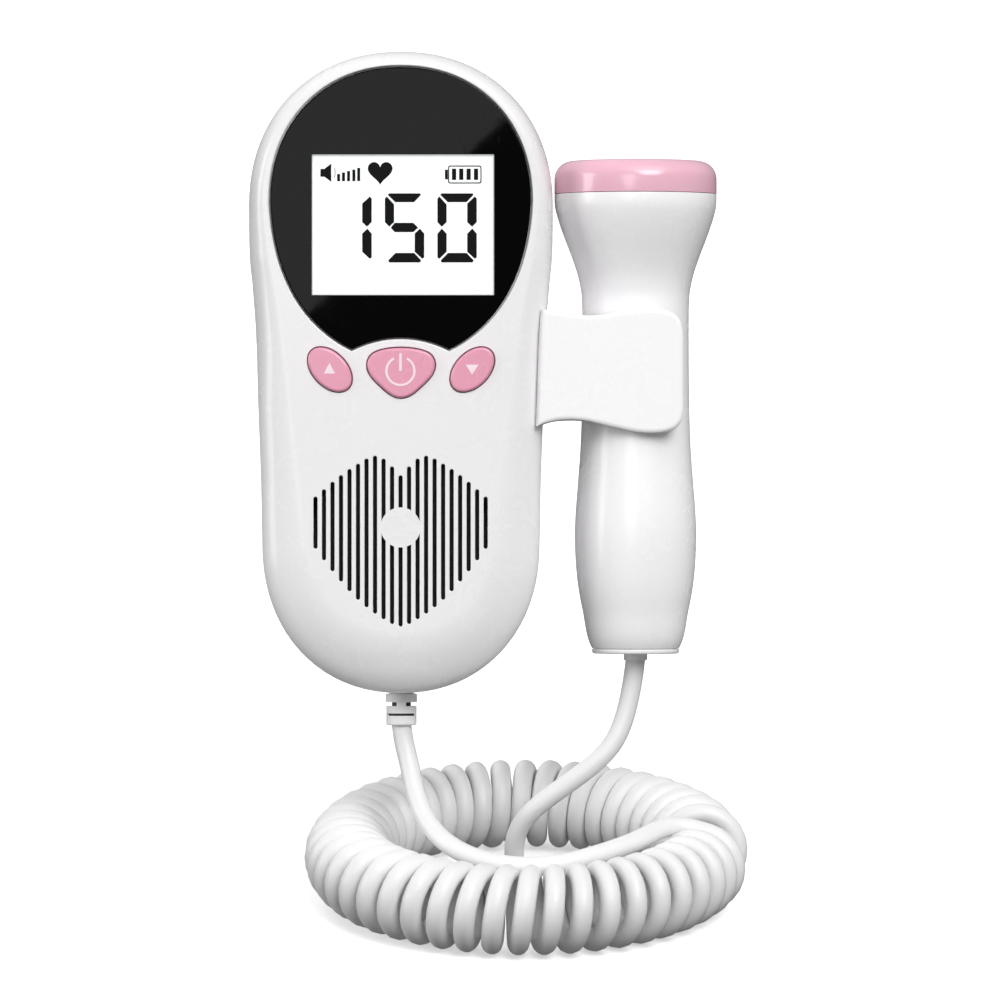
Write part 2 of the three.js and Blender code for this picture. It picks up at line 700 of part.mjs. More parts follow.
function headphoneJack() {
  const half = jackBodyWidth / 2;
  const inner = housingWall + clearance - halfWidthAt(jackHeight - half);
  const body = toSolid(block(inner, inner + jackBodyLength, -jackDepthPlace - half, -jackDepthPlace + half,
    jackHeight - half, jackHeight + half));
  const barrel = toSolid(sideHole(
    jackBarrelRadius, inner - housingWall / 2, -jackDepthPlace, jackHeight, housingWall + clearance,
  ));
  const bore = toSolid(sideHole(jackRadius, inner, -jackDepthPlace, jackHeight, jackBodyLength * 1.6));
  return cut(joined(body, barrel), bore);
}

// Clip: two arms and a saddle between them, with the front arm's outline of a tongue with a flared end
function probeClip() {
  const innerRadius = probeWaistRadius + clipGrip;
  const armFront = -probeDepthPlace - innerRadius - clipArmThickness;
  const armBack = -probeDepthPlace + innerRadius + clipArmThickness;
  const tip = clipRoot + clipReach;
  const plan = new THREE.Shape();
  plan.moveTo(clipRoot - overrun * 2, armFront);
  plan.lineTo(tip - clipTipRound, armFront);
  plan.absarc(tip - clipTipRound, armFront + clipTipRound, clipTipRound, -Math.PI / 2, 0);
  plan.lineTo(tip, -probeDepthPlace - innerRadius - clipTipRound);
  plan.absarc(tip - clipTipRound, -probeDepthPlace - innerRadius - clipTipRound, clipTipRound, 0, Math.PI / 2);
  plan.lineTo(probeSpread, -probeDepthPlace - innerRadius);
  plan.absarc(probeSpread, -probeDepthPlace, innerRadius, -Math.PI / 2, -Math.PI * 1.5, true);
  plan.lineTo(tip - clipTipRound, -probeDepthPlace + innerRadius);
  plan.absarc(tip - clipTipRound, -probeDepthPlace + innerRadius + clipTipRound, clipTipRound, -Math.PI / 2, 0);
  plan.lineTo(tip, armBack - clipTipRound);
  plan.absarc(tip - clipTipRound, armBack - clipTipRound, clipTipRound, 0, Math.PI / 2);
  plan.lineTo(clipRoot - overrun * 2, armBack);
  const tall = clipHalfHeight * 2 + overrun * 2;
  const arms = new THREE.ExtrudeGeometry(plan, { depth: tall, bevelEnabled: false, curveSegments: 5 })
    .translate(0, 0, clipMiddle - tall / 2);
  const facePoint = ([along, up]) => new THREE.Vector2(clipRoot + clipReach * along, clipMiddle + clipHalfHeight * up);
  const face = new THREE.Shape();
  face.moveTo(clipRoot - overrun * 2, clipMiddle + clipHalfHeight * clipTopShares[0][1]);
  face.lineTo(...facePoint(clipTopShares[0]).toArray());
  face.splineThru([...clipTopShares.slice(1), ...clipTipShares].map(facePoint));
  face.lineTo(...facePoint(clipTipLowerShares[0]).toArray());
  face.splineThru([...clipTipLowerShares.slice(1), ...clipBottomShares].map(facePoint));
  face.lineTo(clipRoot - overrun * 2, clipMiddle + clipHalfHeight * clipBottomShares[7][1]);
  const faceCut = plate(face, armFront - overrun, armBack + overrun, 1);
  const screwHoles = clipScrewHeights.map((z) => toSolid(sideHole(
    screwRadius + clearance, clipRoot, -clipScrewDepthPlace, z, clipScrewLength * 2,
  )));
  return cut(
    toSolid(arms).intersect(toSolid(faceCut)),
    unitBody(frontFace - overrun, overrun, -clearance, 5), ...screwHoles,
  );
}

// Probe, turned about its own axis
function handleProfile() {
  const neck = neckShares.map(([down, wide]) => [
    probeWaistRadius + (probeHeadRadius - probeWaistRadius) * wide,
    probeCapSeam + (probeWaistTop - probeCapSeam) * down,
  ]);
  const bulge = bulgeShares.map(([down, wide]) => [
    probeWaistRadius + (probeBulgeRadius - probeWaistRadius) * wide,
    probeWaistBottom + (probeBulgeHeight - probeWaistBottom) * down,
  ]);
  const endHeight = probeBottom + probeEndSeam;
  const tail = tailShares.map(([down, wide]) => [
    probeEndRadius + (probeBulgeRadius - probeEndRadius) * wide,
    probeBulgeHeight + (endHeight - probeBulgeHeight) * down,
  ]);
  return [
    [probeHeadRadius, probeCapSeam - clearance], ...neck,
    [probeWaistRadius, probeWaistTop], [probeWaistRadius, probeWaistBottom], ...bulge,
    [probeBulgeRadius, probeBulgeHeight], ...tail, [probeEndRadius, endHeight],
  ];
}

function probeHandle() {
  const outside = handleProfile();
  const inside = outside.filter((point, i) => i % 2 === 0 || i === outside.length - 1)
    .map(([radius, height]) => [radius - probeWall, height]).reverse();
  return turned([...outside, ...inside, outside[0]], 24);
}

function probeHeadCap() {
  const corner = (radius, height, round, steps) => Array.from({ length: steps + 1 }, (_, i) => {
    const angle = (i / steps) * Math.PI / 2;
    return [radius - round * (1 - Math.cos(angle)), height - round * (1 - Math.sin(angle))];
  });
  const innerRound = probeCapCorner - probeWall;
  return turned([
    [0, probeTop - probeWall], ...corner(probeHeadRadius - probeWall, probeTop - probeWall, innerRound, 3).reverse(),
    [probeHeadRadius - probeWall, probeCapSeam], [probeHeadRadius, probeCapSeam],
    ...corner(probeHeadRadius, probeTop, probeCapCorner, 4), [0, probeTop],
  ], 24);
}

function crystalCarrier() {
  const top = probeTop - probeWall - clearance * 2 - crystalThickness;
  const radius = probeHeadRadius - probeWall - clearance - probeCapCorner * 0.2;
  return turned([
    [0, top - carrierThickness], [radius * 0.82, top - carrierThickness], [radius, top - carrierThickness * 0.6],
    [radius, top], [0, top],
  ], 28);
}

function crystal(side) {
  const shape = new THREE.Shape();
  const lean = Math.asin(crystalSlit / 2 / crystalRadius);
  shape.absarc(0, 0, crystalRadius, -Math.PI / 2 + lean, Math.PI / 2 - lean);
  const bottom = probeTop - probeWall - clearance - crystalThickness;
  const geometry = new THREE.ExtrudeGeometry(shape, { depth: crystalThickness, bevelEnabled: false, curveSegments: 8 });
  return geometry.translate(0, 0, bottom).rotateZ(side > 0 ? 0 : Math.PI);
}

function probeBoard() {
  const top = probeTop - probeWall - clearance * 3 - crystalThickness - carrierThickness;
  return block(-probeBoardWidth / 2, probeBoardWidth / 2, -probeBoardThickness / 2, probeBoardThickness / 2,
    top - probeBoardLength, top);
}

function probeEndCap() {
  const top = probeBottom + probeEndSeam - clearance;
  const bore = probeReliefRadius + clearance;
  const plug = probeEndRadius - probeWall - clearance;
  return turned([
    [bore, probeBottom], [probeEndRadius - probeEndSeam / 2, probeBottom], [probeEndRadius, probeBottom + probeEndSeam / 2],
    [probeEndRadius, top], [plug, top], [plug, top + probeWall * 2], [plug - probeWall, top + probeWall * 2],
    [plug - probeWall, top], [bore, top], [bore, probeBottom],
  ], 24);
}

function probeRelief() {
  const innerFace = probeBottom + probeEndSeam;
  return turned([
    [0, probeBottom - probeReliefLength], [probeReliefRadius, probeBottom - probeReliefLength],
    [probeReliefRadius, innerFace], [probeReliefRadius + probeWall, innerFace],
    [probeReliefRadius + probeWall, innerFace + probeWall], [0, innerFace + probeWall],
  ], 20);
}

// Strain relief at the unit's foot: a flange inside, a neck through the wall and soft ribs outside
function unitRelief() {
  const wallTop = -unitHeight / 2 + housingWall + clearance;
  const collar = -unitHeight / 2 - clearance;
  const step = (share) => collar - reliefLength * share;
  const [first, second, third, fourth] = reliefStepShares;
  return turned([
    [0, step(1)], [reliefTipRadius * 0.9, step(1)], [reliefTipRadius, step(0.96)], [reliefTipRadius, step(fourth)],
    [reliefGrooveRadius, step(fourth)], [reliefGrooveRadius, step(third)], [reliefTipRadius, step(third)],
    [reliefTipRadius, step(second)], [reliefGrooveRadius, step(second)], [reliefGrooveRadius, step(first)],
    [reliefRibRadius, step(first)], [reliefRibRadius, collar], [reliefNeckRadius, collar], [reliefNeckRadius, wallTop],
    [reliefFlangeRadius, wallTop], [reliefFlangeRadius, wallTop + reliefFlangeThickness],
    [0, wallTop + reliefFlangeThickness],
  ], 16);
}

// Curly cord: a helix wound along a ring that lies flat, drawn out in its last curl
const curlRadius = curlOuterRadius - cordDiameter / 2;

function curlPoint(turns) {
  const drawn = Math.max(turns - curlCount + 1.5, 0) / 1.5;
  const along = ringStart + curlPitch * (turns + lastCurlStretch * drawn ** 2);
  const around = firstCurlStart - Math.PI * 2 * turns;
  const reach = ringRadius + curlRadius * Math.cos(around);
  return new THREE.Vector3(
    ringCentre.x + reach * Math.cos(along),
    ringCentre.y - reach * Math.sin(along),
    ringCentre.z + curlRadius * Math.sin(around),
  );
}

const curlStart = curlPoint(0);
const curlEnd = curlPoint(curlCount);
const smallTurn = 1 / 512;
const startHeading = curlPoint(smallTurn).sub(curlStart).normalize();
const endHeading = curlEnd.clone().sub(curlPoint(curlCount - smallTurn)).normalize();
const curlEntry = curlStart.clone().addScaledVector(startHeading, -cordDiameter);
const curlExit = curlEnd.clone().addScaledVector(endHeading, cordDiameter);

function curlPath() {
  const steps = Math.round(curlCount * curlSteps);
  const helix = Array.from({ length: steps + 1 }, (_, i) => curlPoint(curlCount * i / steps));
  return [curlEntry, ...helix, curlExit];
}

function tubeAlong(path, radius, sides) {
  const headings = path.map((point, i) => {
    const ahead = path[Math.min(i + 1, path.length - 1)];
    const behind = path[Math.max(i - 1, 0)];
    return ahead.clone().sub(behind).normalize();
  });
  let across = new THREE.Vector3(1, 0, 0).cross(headings[0]).normalize();
  const places = [];
  path.forEach((point, i) => {
    across = across.clone().addScaledVector(headings[i], -across.dot(headings[i])).normalize();
    const beside = headings[i].clone().cross(across);
    for (let side = 0; side < sides; side += 1) {
      const angle = (side / sides) * Math.PI * 2;
      const corner = point.clone().addScaledVector(across, radius * Math.cos(angle))
        .addScaledVector(beside, radius * Math.sin(angle));
      places.push(corner.x, corner.y, corner.z);
    }
  });
  const index = [];
  for (let i = 0; i + 1 < path.length; i += 1) {
    for (let side = 0; side < sides; side += 1) {
      const [a, b] = [i * sides + side, i * sides + (side + 1) % sides];
      index.push(a, b, b + sides, a, b + sides, a + sides);
    }
  }
  const last = (path.length - 1) * sides;
  for (let side = 1; side + 1 < sides; side += 1) {
    index.push(0, side + 1, side, last, last + side, last + side + 1);
  }
  const geometry = new THREE.BufferGeometry();
  geometry.setAttribute('position', new THREE.Float32BufferAttribute(places, 3));
  geometry.setIndex(index);
  return geometry;
}

function leastGap(path, diameter, nearSteps) {
  let least = Infinity;
  for (let i = 0; i < path.length; i += 1) {
    for (let j = i + nearSteps; j < path.length; j += 1) {
      least = Math.min(least, path[i].distanceTo(path[j]));
    }
  }
  return least - diameter;
}

const lengthOf = (path) => path.slice(1).reduce((sum, point, i) => sum + point.distanceTo(path[i]), 0);

// Free leads run straight out of their strain relief and straight into the curls
function leadCurve(exit, exitHeading, points, joint, jointHeading) {
  const hand = points.map(([x, y, z]) => new THREE.Vector3(x, y, z));
  return new THREE.CatmullRomCurve3([
    exit.clone().addScaledVector(exitHeading, clearance),
    ...hand,
    joint.clone().addScaledVector(jointHeading, clearance + leadRun),
    joint.clone().addScaledVector(jointHeading, clearance),
  ], false, 'centripetal');
}

function lead(curve, steps) {
  const section = new THREE.Shape(new THREE.EllipseCurve(0, 0, cordDiameter / 2, cordDiameter / 2)
    .getPoints(leadSides).slice(0, -1));
  return new THREE.ExtrudeGeometry(section, { steps, extrudePath: curve, bevelEnabled: false });
}

// Assembly
const device = new THREE.Group();
device.rotation.x = unitLean;

const probe = new THREE.Group();
probe.position.set(probeSpread, -probeDepthPlace, 0);

device.add(
  piece('front_housing', frontHousing(), whiteGloss()),
  piece('rear_housing', rearHousing(), whiteGloss()),
  piece('battery_cover', batteryCover(), whiteGloss()),
  piece('screen_lens', plate(shapeOf(lensOutline()), frontFace + lensSeatDepth - clearance - lensThickness,
    frontFace + lensSeatDepth - clearance), blackGloss()),
  piece('lcd_module', displayModule(), displayGrey()),
  piece('main_board', mainBoard(), boardGreen()),
  piece('headphone_jack', headphoneJack(), darkPlastic()),
  piece('probe_clip', probeClip(), whiteGloss()),
);

for (const one of buttons) {
  const cap = piece(`${one.name}_button`, button(one), pinkGloss());
  const contact = piece(`${one.name}_switch`, tactSwitch(), darkPlastic());
  cap.position.set(one.x, 0, one.z);
  contact.position.copy(cap.position);
  device.add(cap, contact);
}

const loudspeaker = piece('loudspeaker', speaker(), darkPlastic());
loudspeaker.position.set(0, moduleFront, speakerHeight);
device.add(loudspeaker);

const cellSpread = cellRadius + clearance / 2;
const lowerContactTop = compartmentBottom + clearance + contactThickness;
const upperContactBottom = compartmentTop - clearance - contactThickness;
const leftCell = piece('battery_cell_left', cell(), cellWrap());
leftCell.position.set(-cellSpread, cellMiddleDepth, upperContactBottom - clearance - cellLength);
const rightCell = piece('battery_cell_right', cell(), cellWrap());
rightCell.rotation.x = Math.PI;
rightCell.position.set(cellSpread, cellMiddleDepth, lowerContactTop + clearance + cellLength);
const reach = compartmentHalfWidth - clearance;
const bridge = piece('battery_bridge_contact', contactPlate(-reach, reach, -cellSpread, 1), greyMetal());
bridge.position.set(0, cellMiddleDepth, compartmentBottom + clearance);
const positive = piece('battery_positive_contact', contactPlate(clearance, reach, null, -1), greyMetal());
positive.position.set(0, cellMiddleDepth, compartmentTop - clearance);
const negative = piece('battery_negative_contact', contactPlate(-reach, -clearance, -cellSpread, -1), greyMetal());
negative.position.set(0, cellMiddleDepth, compartmentTop - clearance);
device.add(leftCell, rightCell, bridge, positive, negative);

screwPlaces.forEach(([x, z], i) => {
  const fastener = piece(`housing_screw_${i + 1}`, screw(screwLength), greyMetal());
  fastener.rotation.x = -Math.PI / 2;
  fastener.position.set(x, -screwSinkDepth + clearance - screwLength, z);
  device.add(fastener);
});

clipScrewHeights.forEach((z, i) => {
  const fastener = piece(`clip_screw_${i + 1}`, screw(clipScrewLength), greyMetal());
  fastener.rotation.y = -Math.PI / 2;
  fastener.position.set(halfWidthAt(z) - housingWall - clearance + clipScrewLength, -clipScrewDepthPlace, z);
  device.add(fastener);
});

const relief = piece('unit_strain_relief', unitRelief(), paleRubber());
relief.position.set(0, seam, 0);
device.add(relief);

probe.add(
  piece('probe_handle', probeHandle(), whiteGloss()),
  piece('probe_head_cap', probeHeadCap(), clearPink()),
  piece('crystal_carrier', crystalCarrier(), ceramic()),
  piece('transmit_crystal', crystal(1), greyMetal()),
  piece('receive_crystal', crystal(-1), greyMetal()),
  piece('probe_board', probeBoard(), boardGreen()),
  piece('probe_end_cap', probeEndCap(), whiteGloss()),
  piece('probe_strain_relief', probeRelief(), paleRubber()),
);
device.add(probe);
device.updateMatrixWorld(true);

const downDevice = new THREE.Vector3(0, 0, -1).applyEuler(device.rotation);
const unitExit = relief.localToWorld(new THREE.Vector3(0, 0, -unitHeight / 2 - clearance - reliefLength));
const probeExit = probe.localToWorld(new THREE.Vector3(0, 0, probeBottom - probeReliefLength));
const unitLead = leadCurve(unitExit, downDevice, unitLeadPoints, curlEntry, startHeading.clone().negate());
const probeLead = leadCurve(probeExit, downDevice, probeLeadPoints, curlExit, endHeading);
const curls = curlPath();

const cords = new THREE.Group();
cords.add(
  piece('unit_lead', lead(unitLead, 34), paleRubber()),
  piece('curly_cord', tubeAlong(curls, cordDiameter / 2, curlSides), paleRubber()),
  piece('probe_lead', lead(probeLead, 34), paleRubber()),
);

console.log(`Least gap between curls: ${leastGap(curls, cordDiameter, curlSteps - 2).toFixed(3)} mm`);
console.log(`Cord lengths, mm: unit lead ${unitLead.getLength().toFixed(1)}, curls ${lengthOf(curls).toFixed(1)}, `
  + `probe lead ${probeLead.getLength().toFixed(1)}`);

// The mount's point on the flat back is the origin of the whole part
const doppler = new THREE.Group();
doppler.name = 'fetal_doppler_monitor';
const mountPoint = device.localToWorld(new THREE.Vector3(0, 0, mountHeight));
doppler.add(device, cords);
doppler.position.copy(mountPoint).negate();
doppler.updateMatrixWorld(true);

export default doppler;
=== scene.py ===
# Fetal doppler monitor: hand unit, clip-on probe and curly cord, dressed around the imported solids.
# Shapes are given in millimetres of the device's own frame, in which x runs across the front,
# y from front to back and z up the unit. The device leans back, and the cord lies level.
import math

import bmesh
import bpy
from bpy.props import FloatProperty, FloatVectorProperty, IntProperty, PointerProperty
from mathutils import Matrix, Vector


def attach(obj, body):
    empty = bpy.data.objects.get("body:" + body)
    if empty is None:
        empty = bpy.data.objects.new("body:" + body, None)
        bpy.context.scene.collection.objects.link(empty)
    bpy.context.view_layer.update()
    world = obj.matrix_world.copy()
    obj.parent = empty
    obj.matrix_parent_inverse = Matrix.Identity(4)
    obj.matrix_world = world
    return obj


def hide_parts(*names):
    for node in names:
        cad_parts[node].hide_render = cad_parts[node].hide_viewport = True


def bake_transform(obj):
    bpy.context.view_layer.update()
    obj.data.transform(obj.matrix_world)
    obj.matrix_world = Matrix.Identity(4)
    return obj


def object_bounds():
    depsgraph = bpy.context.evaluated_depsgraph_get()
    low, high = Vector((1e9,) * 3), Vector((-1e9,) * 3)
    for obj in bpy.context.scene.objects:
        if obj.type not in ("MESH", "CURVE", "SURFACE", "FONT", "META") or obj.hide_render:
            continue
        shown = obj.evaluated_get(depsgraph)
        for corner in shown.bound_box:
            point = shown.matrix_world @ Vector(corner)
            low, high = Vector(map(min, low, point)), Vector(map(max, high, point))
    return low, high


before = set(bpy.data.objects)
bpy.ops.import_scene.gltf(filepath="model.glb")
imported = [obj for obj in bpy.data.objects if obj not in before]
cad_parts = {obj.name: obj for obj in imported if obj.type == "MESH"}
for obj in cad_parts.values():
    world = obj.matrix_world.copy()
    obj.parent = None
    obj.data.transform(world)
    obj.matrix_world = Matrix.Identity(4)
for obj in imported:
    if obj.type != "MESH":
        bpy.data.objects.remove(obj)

bl_info = {
    "name": "Fetal Doppler Monitor",
    "version": (1, 0, 0),
    "blender": (4, 5, 0),
    "location": "3D View > Sidebar > Doppler",
    "description": "Builds the hand unit, its probe and its curly cord around the packed model",
    "category": "Add Mesh",
}

cad_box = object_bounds()

# Frames
MM = 0.001
MOUNT_HEIGHT = 34.0
LEAN = math.radians(-15)
DEVICE = Matrix.Rotation(LEAN, 4, "X") @ Matrix.Translation((0, 0, -MOUNT_HEIGHT * MM)) @ Matrix.Scale(MM, 4)
LEVEL_OFFSET = Matrix.Rotation(LEAN, 4, "X") @ Vector((0, 0, MOUNT_HEIGHT))
LEVEL = Matrix.Scale(MM, 4) @ Matrix.Translation(-LEVEL_OFFSET)
GAP = 0.3
PAST = 1.0

# Hand unit: outline from the front, then depths
UNIT_HEIGHT = 135.0
UPPER_HALF = 32.0
LOWER_HALF = 29.2
TOP_CURVE = 32.6
BOTTOM_CURVE = 31.5
OUTLINE_POWER = 2.14
WIDEST = UNIT_HEIGHT / 2 - TOP_CURVE
LOWEST_SIDE = BOTTOM_CURVE - UNIT_HEIGHT / 2
SIDE_SHARES = [(0.2, 0.1), (0.41, 0.3), (0.62, 0.46), (0.77, 0.74), (0.85, 0.94)]
BOTTOM_STEPS = 20
SIDE_STEPS = 3
TOP_STEPS = 24
FRONT = -32.0
SEAM = -16.0
WALL = 2.0
FRONT_WALL = 2.4
INSIDE = FRONT + FRONT_WALL
ROLL_WIDTH = 3.2
ROLL_DEPTH = 7.0
ROLL_TOP = 35.0
ROLL_WIDENING = 0.095
BACK_ROUND = (5.0, 6.5)
SEAT_LIP = 0.35
RELIEF_HOLE = [(0, -72), (2.9, -72), (2.9, -60), (0, -60)]

# Screen
LENS_HALF = 27.35
LENS_TOP_CURVE = 28.2
LENS_WIDEST = 35.7
CUSP = (10.2, 4.7)
NOTCH_RISE = 2.5
NOTCH_STEPS = 8
FLANK_SHARES = [(0.797, 0.187), (0.978, 0.558)]
LENS_FRONT = -32.2
LENS_BACK = -30.9
LENS_ROUND = (0.3, 0.3)
SEAT = -30.6
WINDOW_HALVES = (19.6, 15.2)
DISPLAY_MIDDLE = (0.5, 30.85)
DISPLAY_SIZE = (38.2, 29.5)
DISPLAY_MARGIN = 2
DISPLAY_LIP = 0.12
GLASS_FRONT = -31.55
MODULE_BACK = -24.3

# Buttons
BUTTON_FRONT = -32.7
BUTTON_BACK = INSIDE + 2 * GAP
BUTTON_GAP = 0.22
BUTTON_ROUND = (0.55, 0.5)
FLANGE = (0.8, 1)
STEM = (1.4, 2.3)
POWER_PLACE = (0.1, -0.2)
POWER_HALVES = (7.1, 5.25)
POWER_SHARES = [
    (0, 1), (0.3, 0.975), (0.52, 0.925), (0.72, 0.845), (0.89, 0.7), (0.98, 0.48), (0.995, 0.22), (0.93, -0.03),
    (0.79, -0.285), (0.62, -0.51), (0.44, -0.735), (0.28, -0.885), (0.14, -0.97), (0, -1),
]
VOLUME_HALVES = (5.5, 3.52)
VOLUME_TILT = 46
VOLUME_UP_PLACE = (-14.83, 0.48)
VOLUME_DOWN_PLACE = (15.03, 0.48)
SIGN_FRONT = BUTTON_FRONT - 0.05
SIGN_BACK = BUTTON_FRONT + 0.1
POWER_SIGN_MIDDLE = (-0.02, 0.19)
POWER_SIGN_RADII = (3.165, 2.705)
POWER_SIGN_OPENING = [POWER_SIGN_MIDDLE, (-2.2, 4.4), (2.16, 4.4)]
POWER_SIGN_BAR = (-0.27, 0.25, 0.15, 3.91, 0.2, 4)
ARROWS = {
    "volume_up": [(-16.09, -0.38), (-13.69, -0.38), (-14.89, 1.87)],
    "volume_down": [(13.62, 1.51), (16.36, 1.51), (14.99, -0.62)],
}

# Grille in the outline of a heart, with a plain disc in its middle
SLOT_PITCH = 1.784
SLOT_WIDTH = 0.86
SLOT_LIP = 0.16
HEART_TOP = -17.6
HEART_HEIGHT = 35.8
HEART_TOP_SHARES = [0.115, 0.063, 0.017, 0, 0.017, 0.047, 0.078, 0.114, 0.153, 0.197, 0.24]
HEART_BOTTOM_SHARES = [1, 0.985, 0.957, 0.924, 0.887, 0.843, 0.793, 0.736, 0.676, 0.612, 0.544]
DISC_RADIUS = 4.2
DISC_HEIGHT = -32.6
CLOTH_RADIUS = 18.2
CLOTH_HEIGHT = -35
CLOTH_DEPTHS = (INSIDE + 0.04, INSIDE + 0.26)

# Back of the hand unit
SCREW_PLACES = [(-20, 53), (20, 53), (-22.5, -45), (22.5, -45)]
BOSS_RADIUS = 4.1
SINK_RADIUS = 2.5
SINK_FLOOR = -6
SHANK_RADIUS = 1.4
COVER_BOX = (-16.95, 16.95, -54.0, 5.1)
COVER_CORNER = 4.0
COVER_THICKNESS = 1.9
GRIP_MIDDLE = -5.9
GRIP_HALVES = (7.5, 4.5)
GRIP_CORNER = 3.6
GRIP_FLOOR = -0.8
RIB_HALVES = (5.2, 6.2, 6.2, 5.2)
RIB_HEIGHT = 0.9
LATCH_SLIT = (10, 0.35, 9)
ROOM_HALF = 14.95
ROOM_ENDS = (-52.0, 3.1)
ROOM_DEEPEST = -17.0
ROOM_WALL = 2.4
ROOM_FLOOR = 1.5
JACK_PLACE = (-10.0, 20.0)
JACK_BARREL = 2.9
JACK_BORE = 1.75
JACK_RIM = -30.4
JACK_BODY = (-28.9, -16.9, 3)

# Clip
CLIP_ROOT = 28.7
CLIP_REACH = 30.6
CLIP_MIDDLE = 0.25
CLIP_HALF = 12.9
CLIP_ARMS = [(-31.7, -29.5), (-5.5, -3.3)]
CLIP_ROUNDS = [((0.9, 0.7), (0.5, 0.5)), ((0.5, 0.5), (0.9, 0.7))]
CLIP_INNER_RADIUS = 12.0
CLIP_OVERLAP = 2
CLIP_BITE = 0.8
CLIP_EDGE = (1.5, 2.0)
CLIP_STEP = 4.4
CLIP_TOP_SHARES = [
    (0, 1.02), (0.04, 1), (0.18, 0.95), (0.32, 0.905), (0.42, 0.905), (0.56, 0.965), (0.72, 1), (0.86, 0.99),
    (0.945, 0.92), (0.985, 0.79), (1, 0.62),
]
CLIP_BOTTOM_SHARES = [
    (1, -0.64), (0.985, -0.82), (0.94, -0.94), (0.86, -1), (0.7, -1), (0.56, -0.935), (0.44, -0.87),
    (0.32, -0.805), (0.2, -0.795), (0.1, -0.82), (0, -0.9),
]

# Probe, turned about its own axis
PROBE_AXIS = (49.5, -17.5)
PROBE_TOP = 44.75
CAP_SEAM = 37.8
HEAD_RADIUS = 17.16
CAP_CORNER = 3.8
WAIST_RADIUS = 11.37
WAIST_ENDS = (15.9, -6.8)
BULGE_RADIUS = 12.85
BULGE_HEIGHT = -34.6
END_RADIUS = 9.2
END_HOLE = 2.8
PROBE_BOTTOM = -59.3
PROBE_WALL = 1.8
PLUG_HEIGHT = 3.6
END_SEAM = 1.1
HAIRLINE = 0.1
SEAM_EDGE = 0.12
NECK_SHARES = [(0.12, 0.98), (0.25, 0.86), (0.42, 0.64), (0.6, 0.38), (0.78, 0.15), (0.9, 0.05)]
SWELL_SHARES = [(0.3, 0.17), (0.6, 0.56), (0.8, 0.86)]
TAIL_SHARES = [(0.3, 0.91), (0.5, 0.75), (0.7, 0.5), (0.84, 0.35), (0.93, 0.2)]
PROBE_EXIT = Vector((49.5, -17.5, -60.35))
UNIT_EXIT = Vector((0, -16, -74.1))

# Strain reliefs: radius and height, with the length of the round at a rounded corner
UNIT_LOW = UNIT_EXIT.z
GLAND_LOW = PROBE_EXIT.z
GLAND_SEAT = PROBE_BOTTOM + END_SEAM
RELIEF_RADIUS = 3.2
LIP_RADIUS, LIP_DEPTH = 2.15, 0.35
UNIT_RELIEF = [
    (0, UNIT_LOW), (LIP_RADIUS, UNIT_LOW), (LIP_RADIUS, UNIT_LOW - LIP_DEPTH),
    (RELIEF_RADIUS, UNIT_LOW - LIP_DEPTH, 0.45), (RELIEF_RADIUS, UNIT_LOW + 4.3, 0.1), (3.3, UNIT_LOW + 4.5, 0.1),
    (3.3, -67.8, 0.25), (2.6, -67.8), (2.6, -65.2), (4.4, -65.2, 0.2), (4.4, -63.7, 0.2), (0, -63.7),
]
# A near-black core inside the relief's slots: painted shade, standing in for the dark inside the slots
RELIEF_SHADE_CORE = [(0, UNIT_LOW + 0.5), (2.85, UNIT_LOW + 0.5), (2.85, -71), (2.0, -71), (2.0, -68.5), (0, -68.5)]
GROOVES = [(-70.0, 0.42, 0), (-72.2, 0.25, 90)]
GROOVE_RADII = (1.9, 5)
BRIDGE_HALVES = (1.0, 6)
PROBE_RELIEF = [
    (0, GLAND_LOW), (LIP_RADIUS, GLAND_LOW), (LIP_RADIUS, GLAND_LOW - LIP_DEPTH), (2.5, GLAND_LOW - LIP_DEPTH, 0.2),
    (2.5, GLAND_SEAT), (4.3, GLAND_SEAT), (4.3, GLAND_SEAT + 1.8, 0.2), (0, GLAND_SEAT + 1.8),
]

# Screws and cells, in the same way
SCREW = [
    (0, -19.7), (0.7, -19.7), (1.1, -18.6), (1.1, -5.7), (2.2, -5.7, 0.2), (2.2, -4.9, 0.5), (1.5, -4.1, 0.4),
    (0, -4.1),
]
CROSS_WING = (-1.25, 1.25, -0.25, 0.25, -5.0, -3.5)
CROSS_TURNS = (20, 110)
CROSS_STEP = 17
CELL_LOW = -48.2
CELL_LENGTH = 50.5
CELL_PLACE = (7.4, -9.45)
CELL = [
    (0, CELL_LOW), (4.6, CELL_LOW, 0.3), (4.9, CELL_LOW + 0.5, 0.2), (7.0, CELL_LOW + 0.5, 0.5),
    (7.25, CELL_LOW + 1.2, 0.2), (7.25, CELL_LOW + 48.7, 0.6), (6.6, CELL_LOW + 49.2, 0.2),
    (3.1, CELL_LOW + 49.2, 0.3), (2.75, CELL_LOW + 50.4, 0.4), (0, CELL_LOW + 50.4),
]

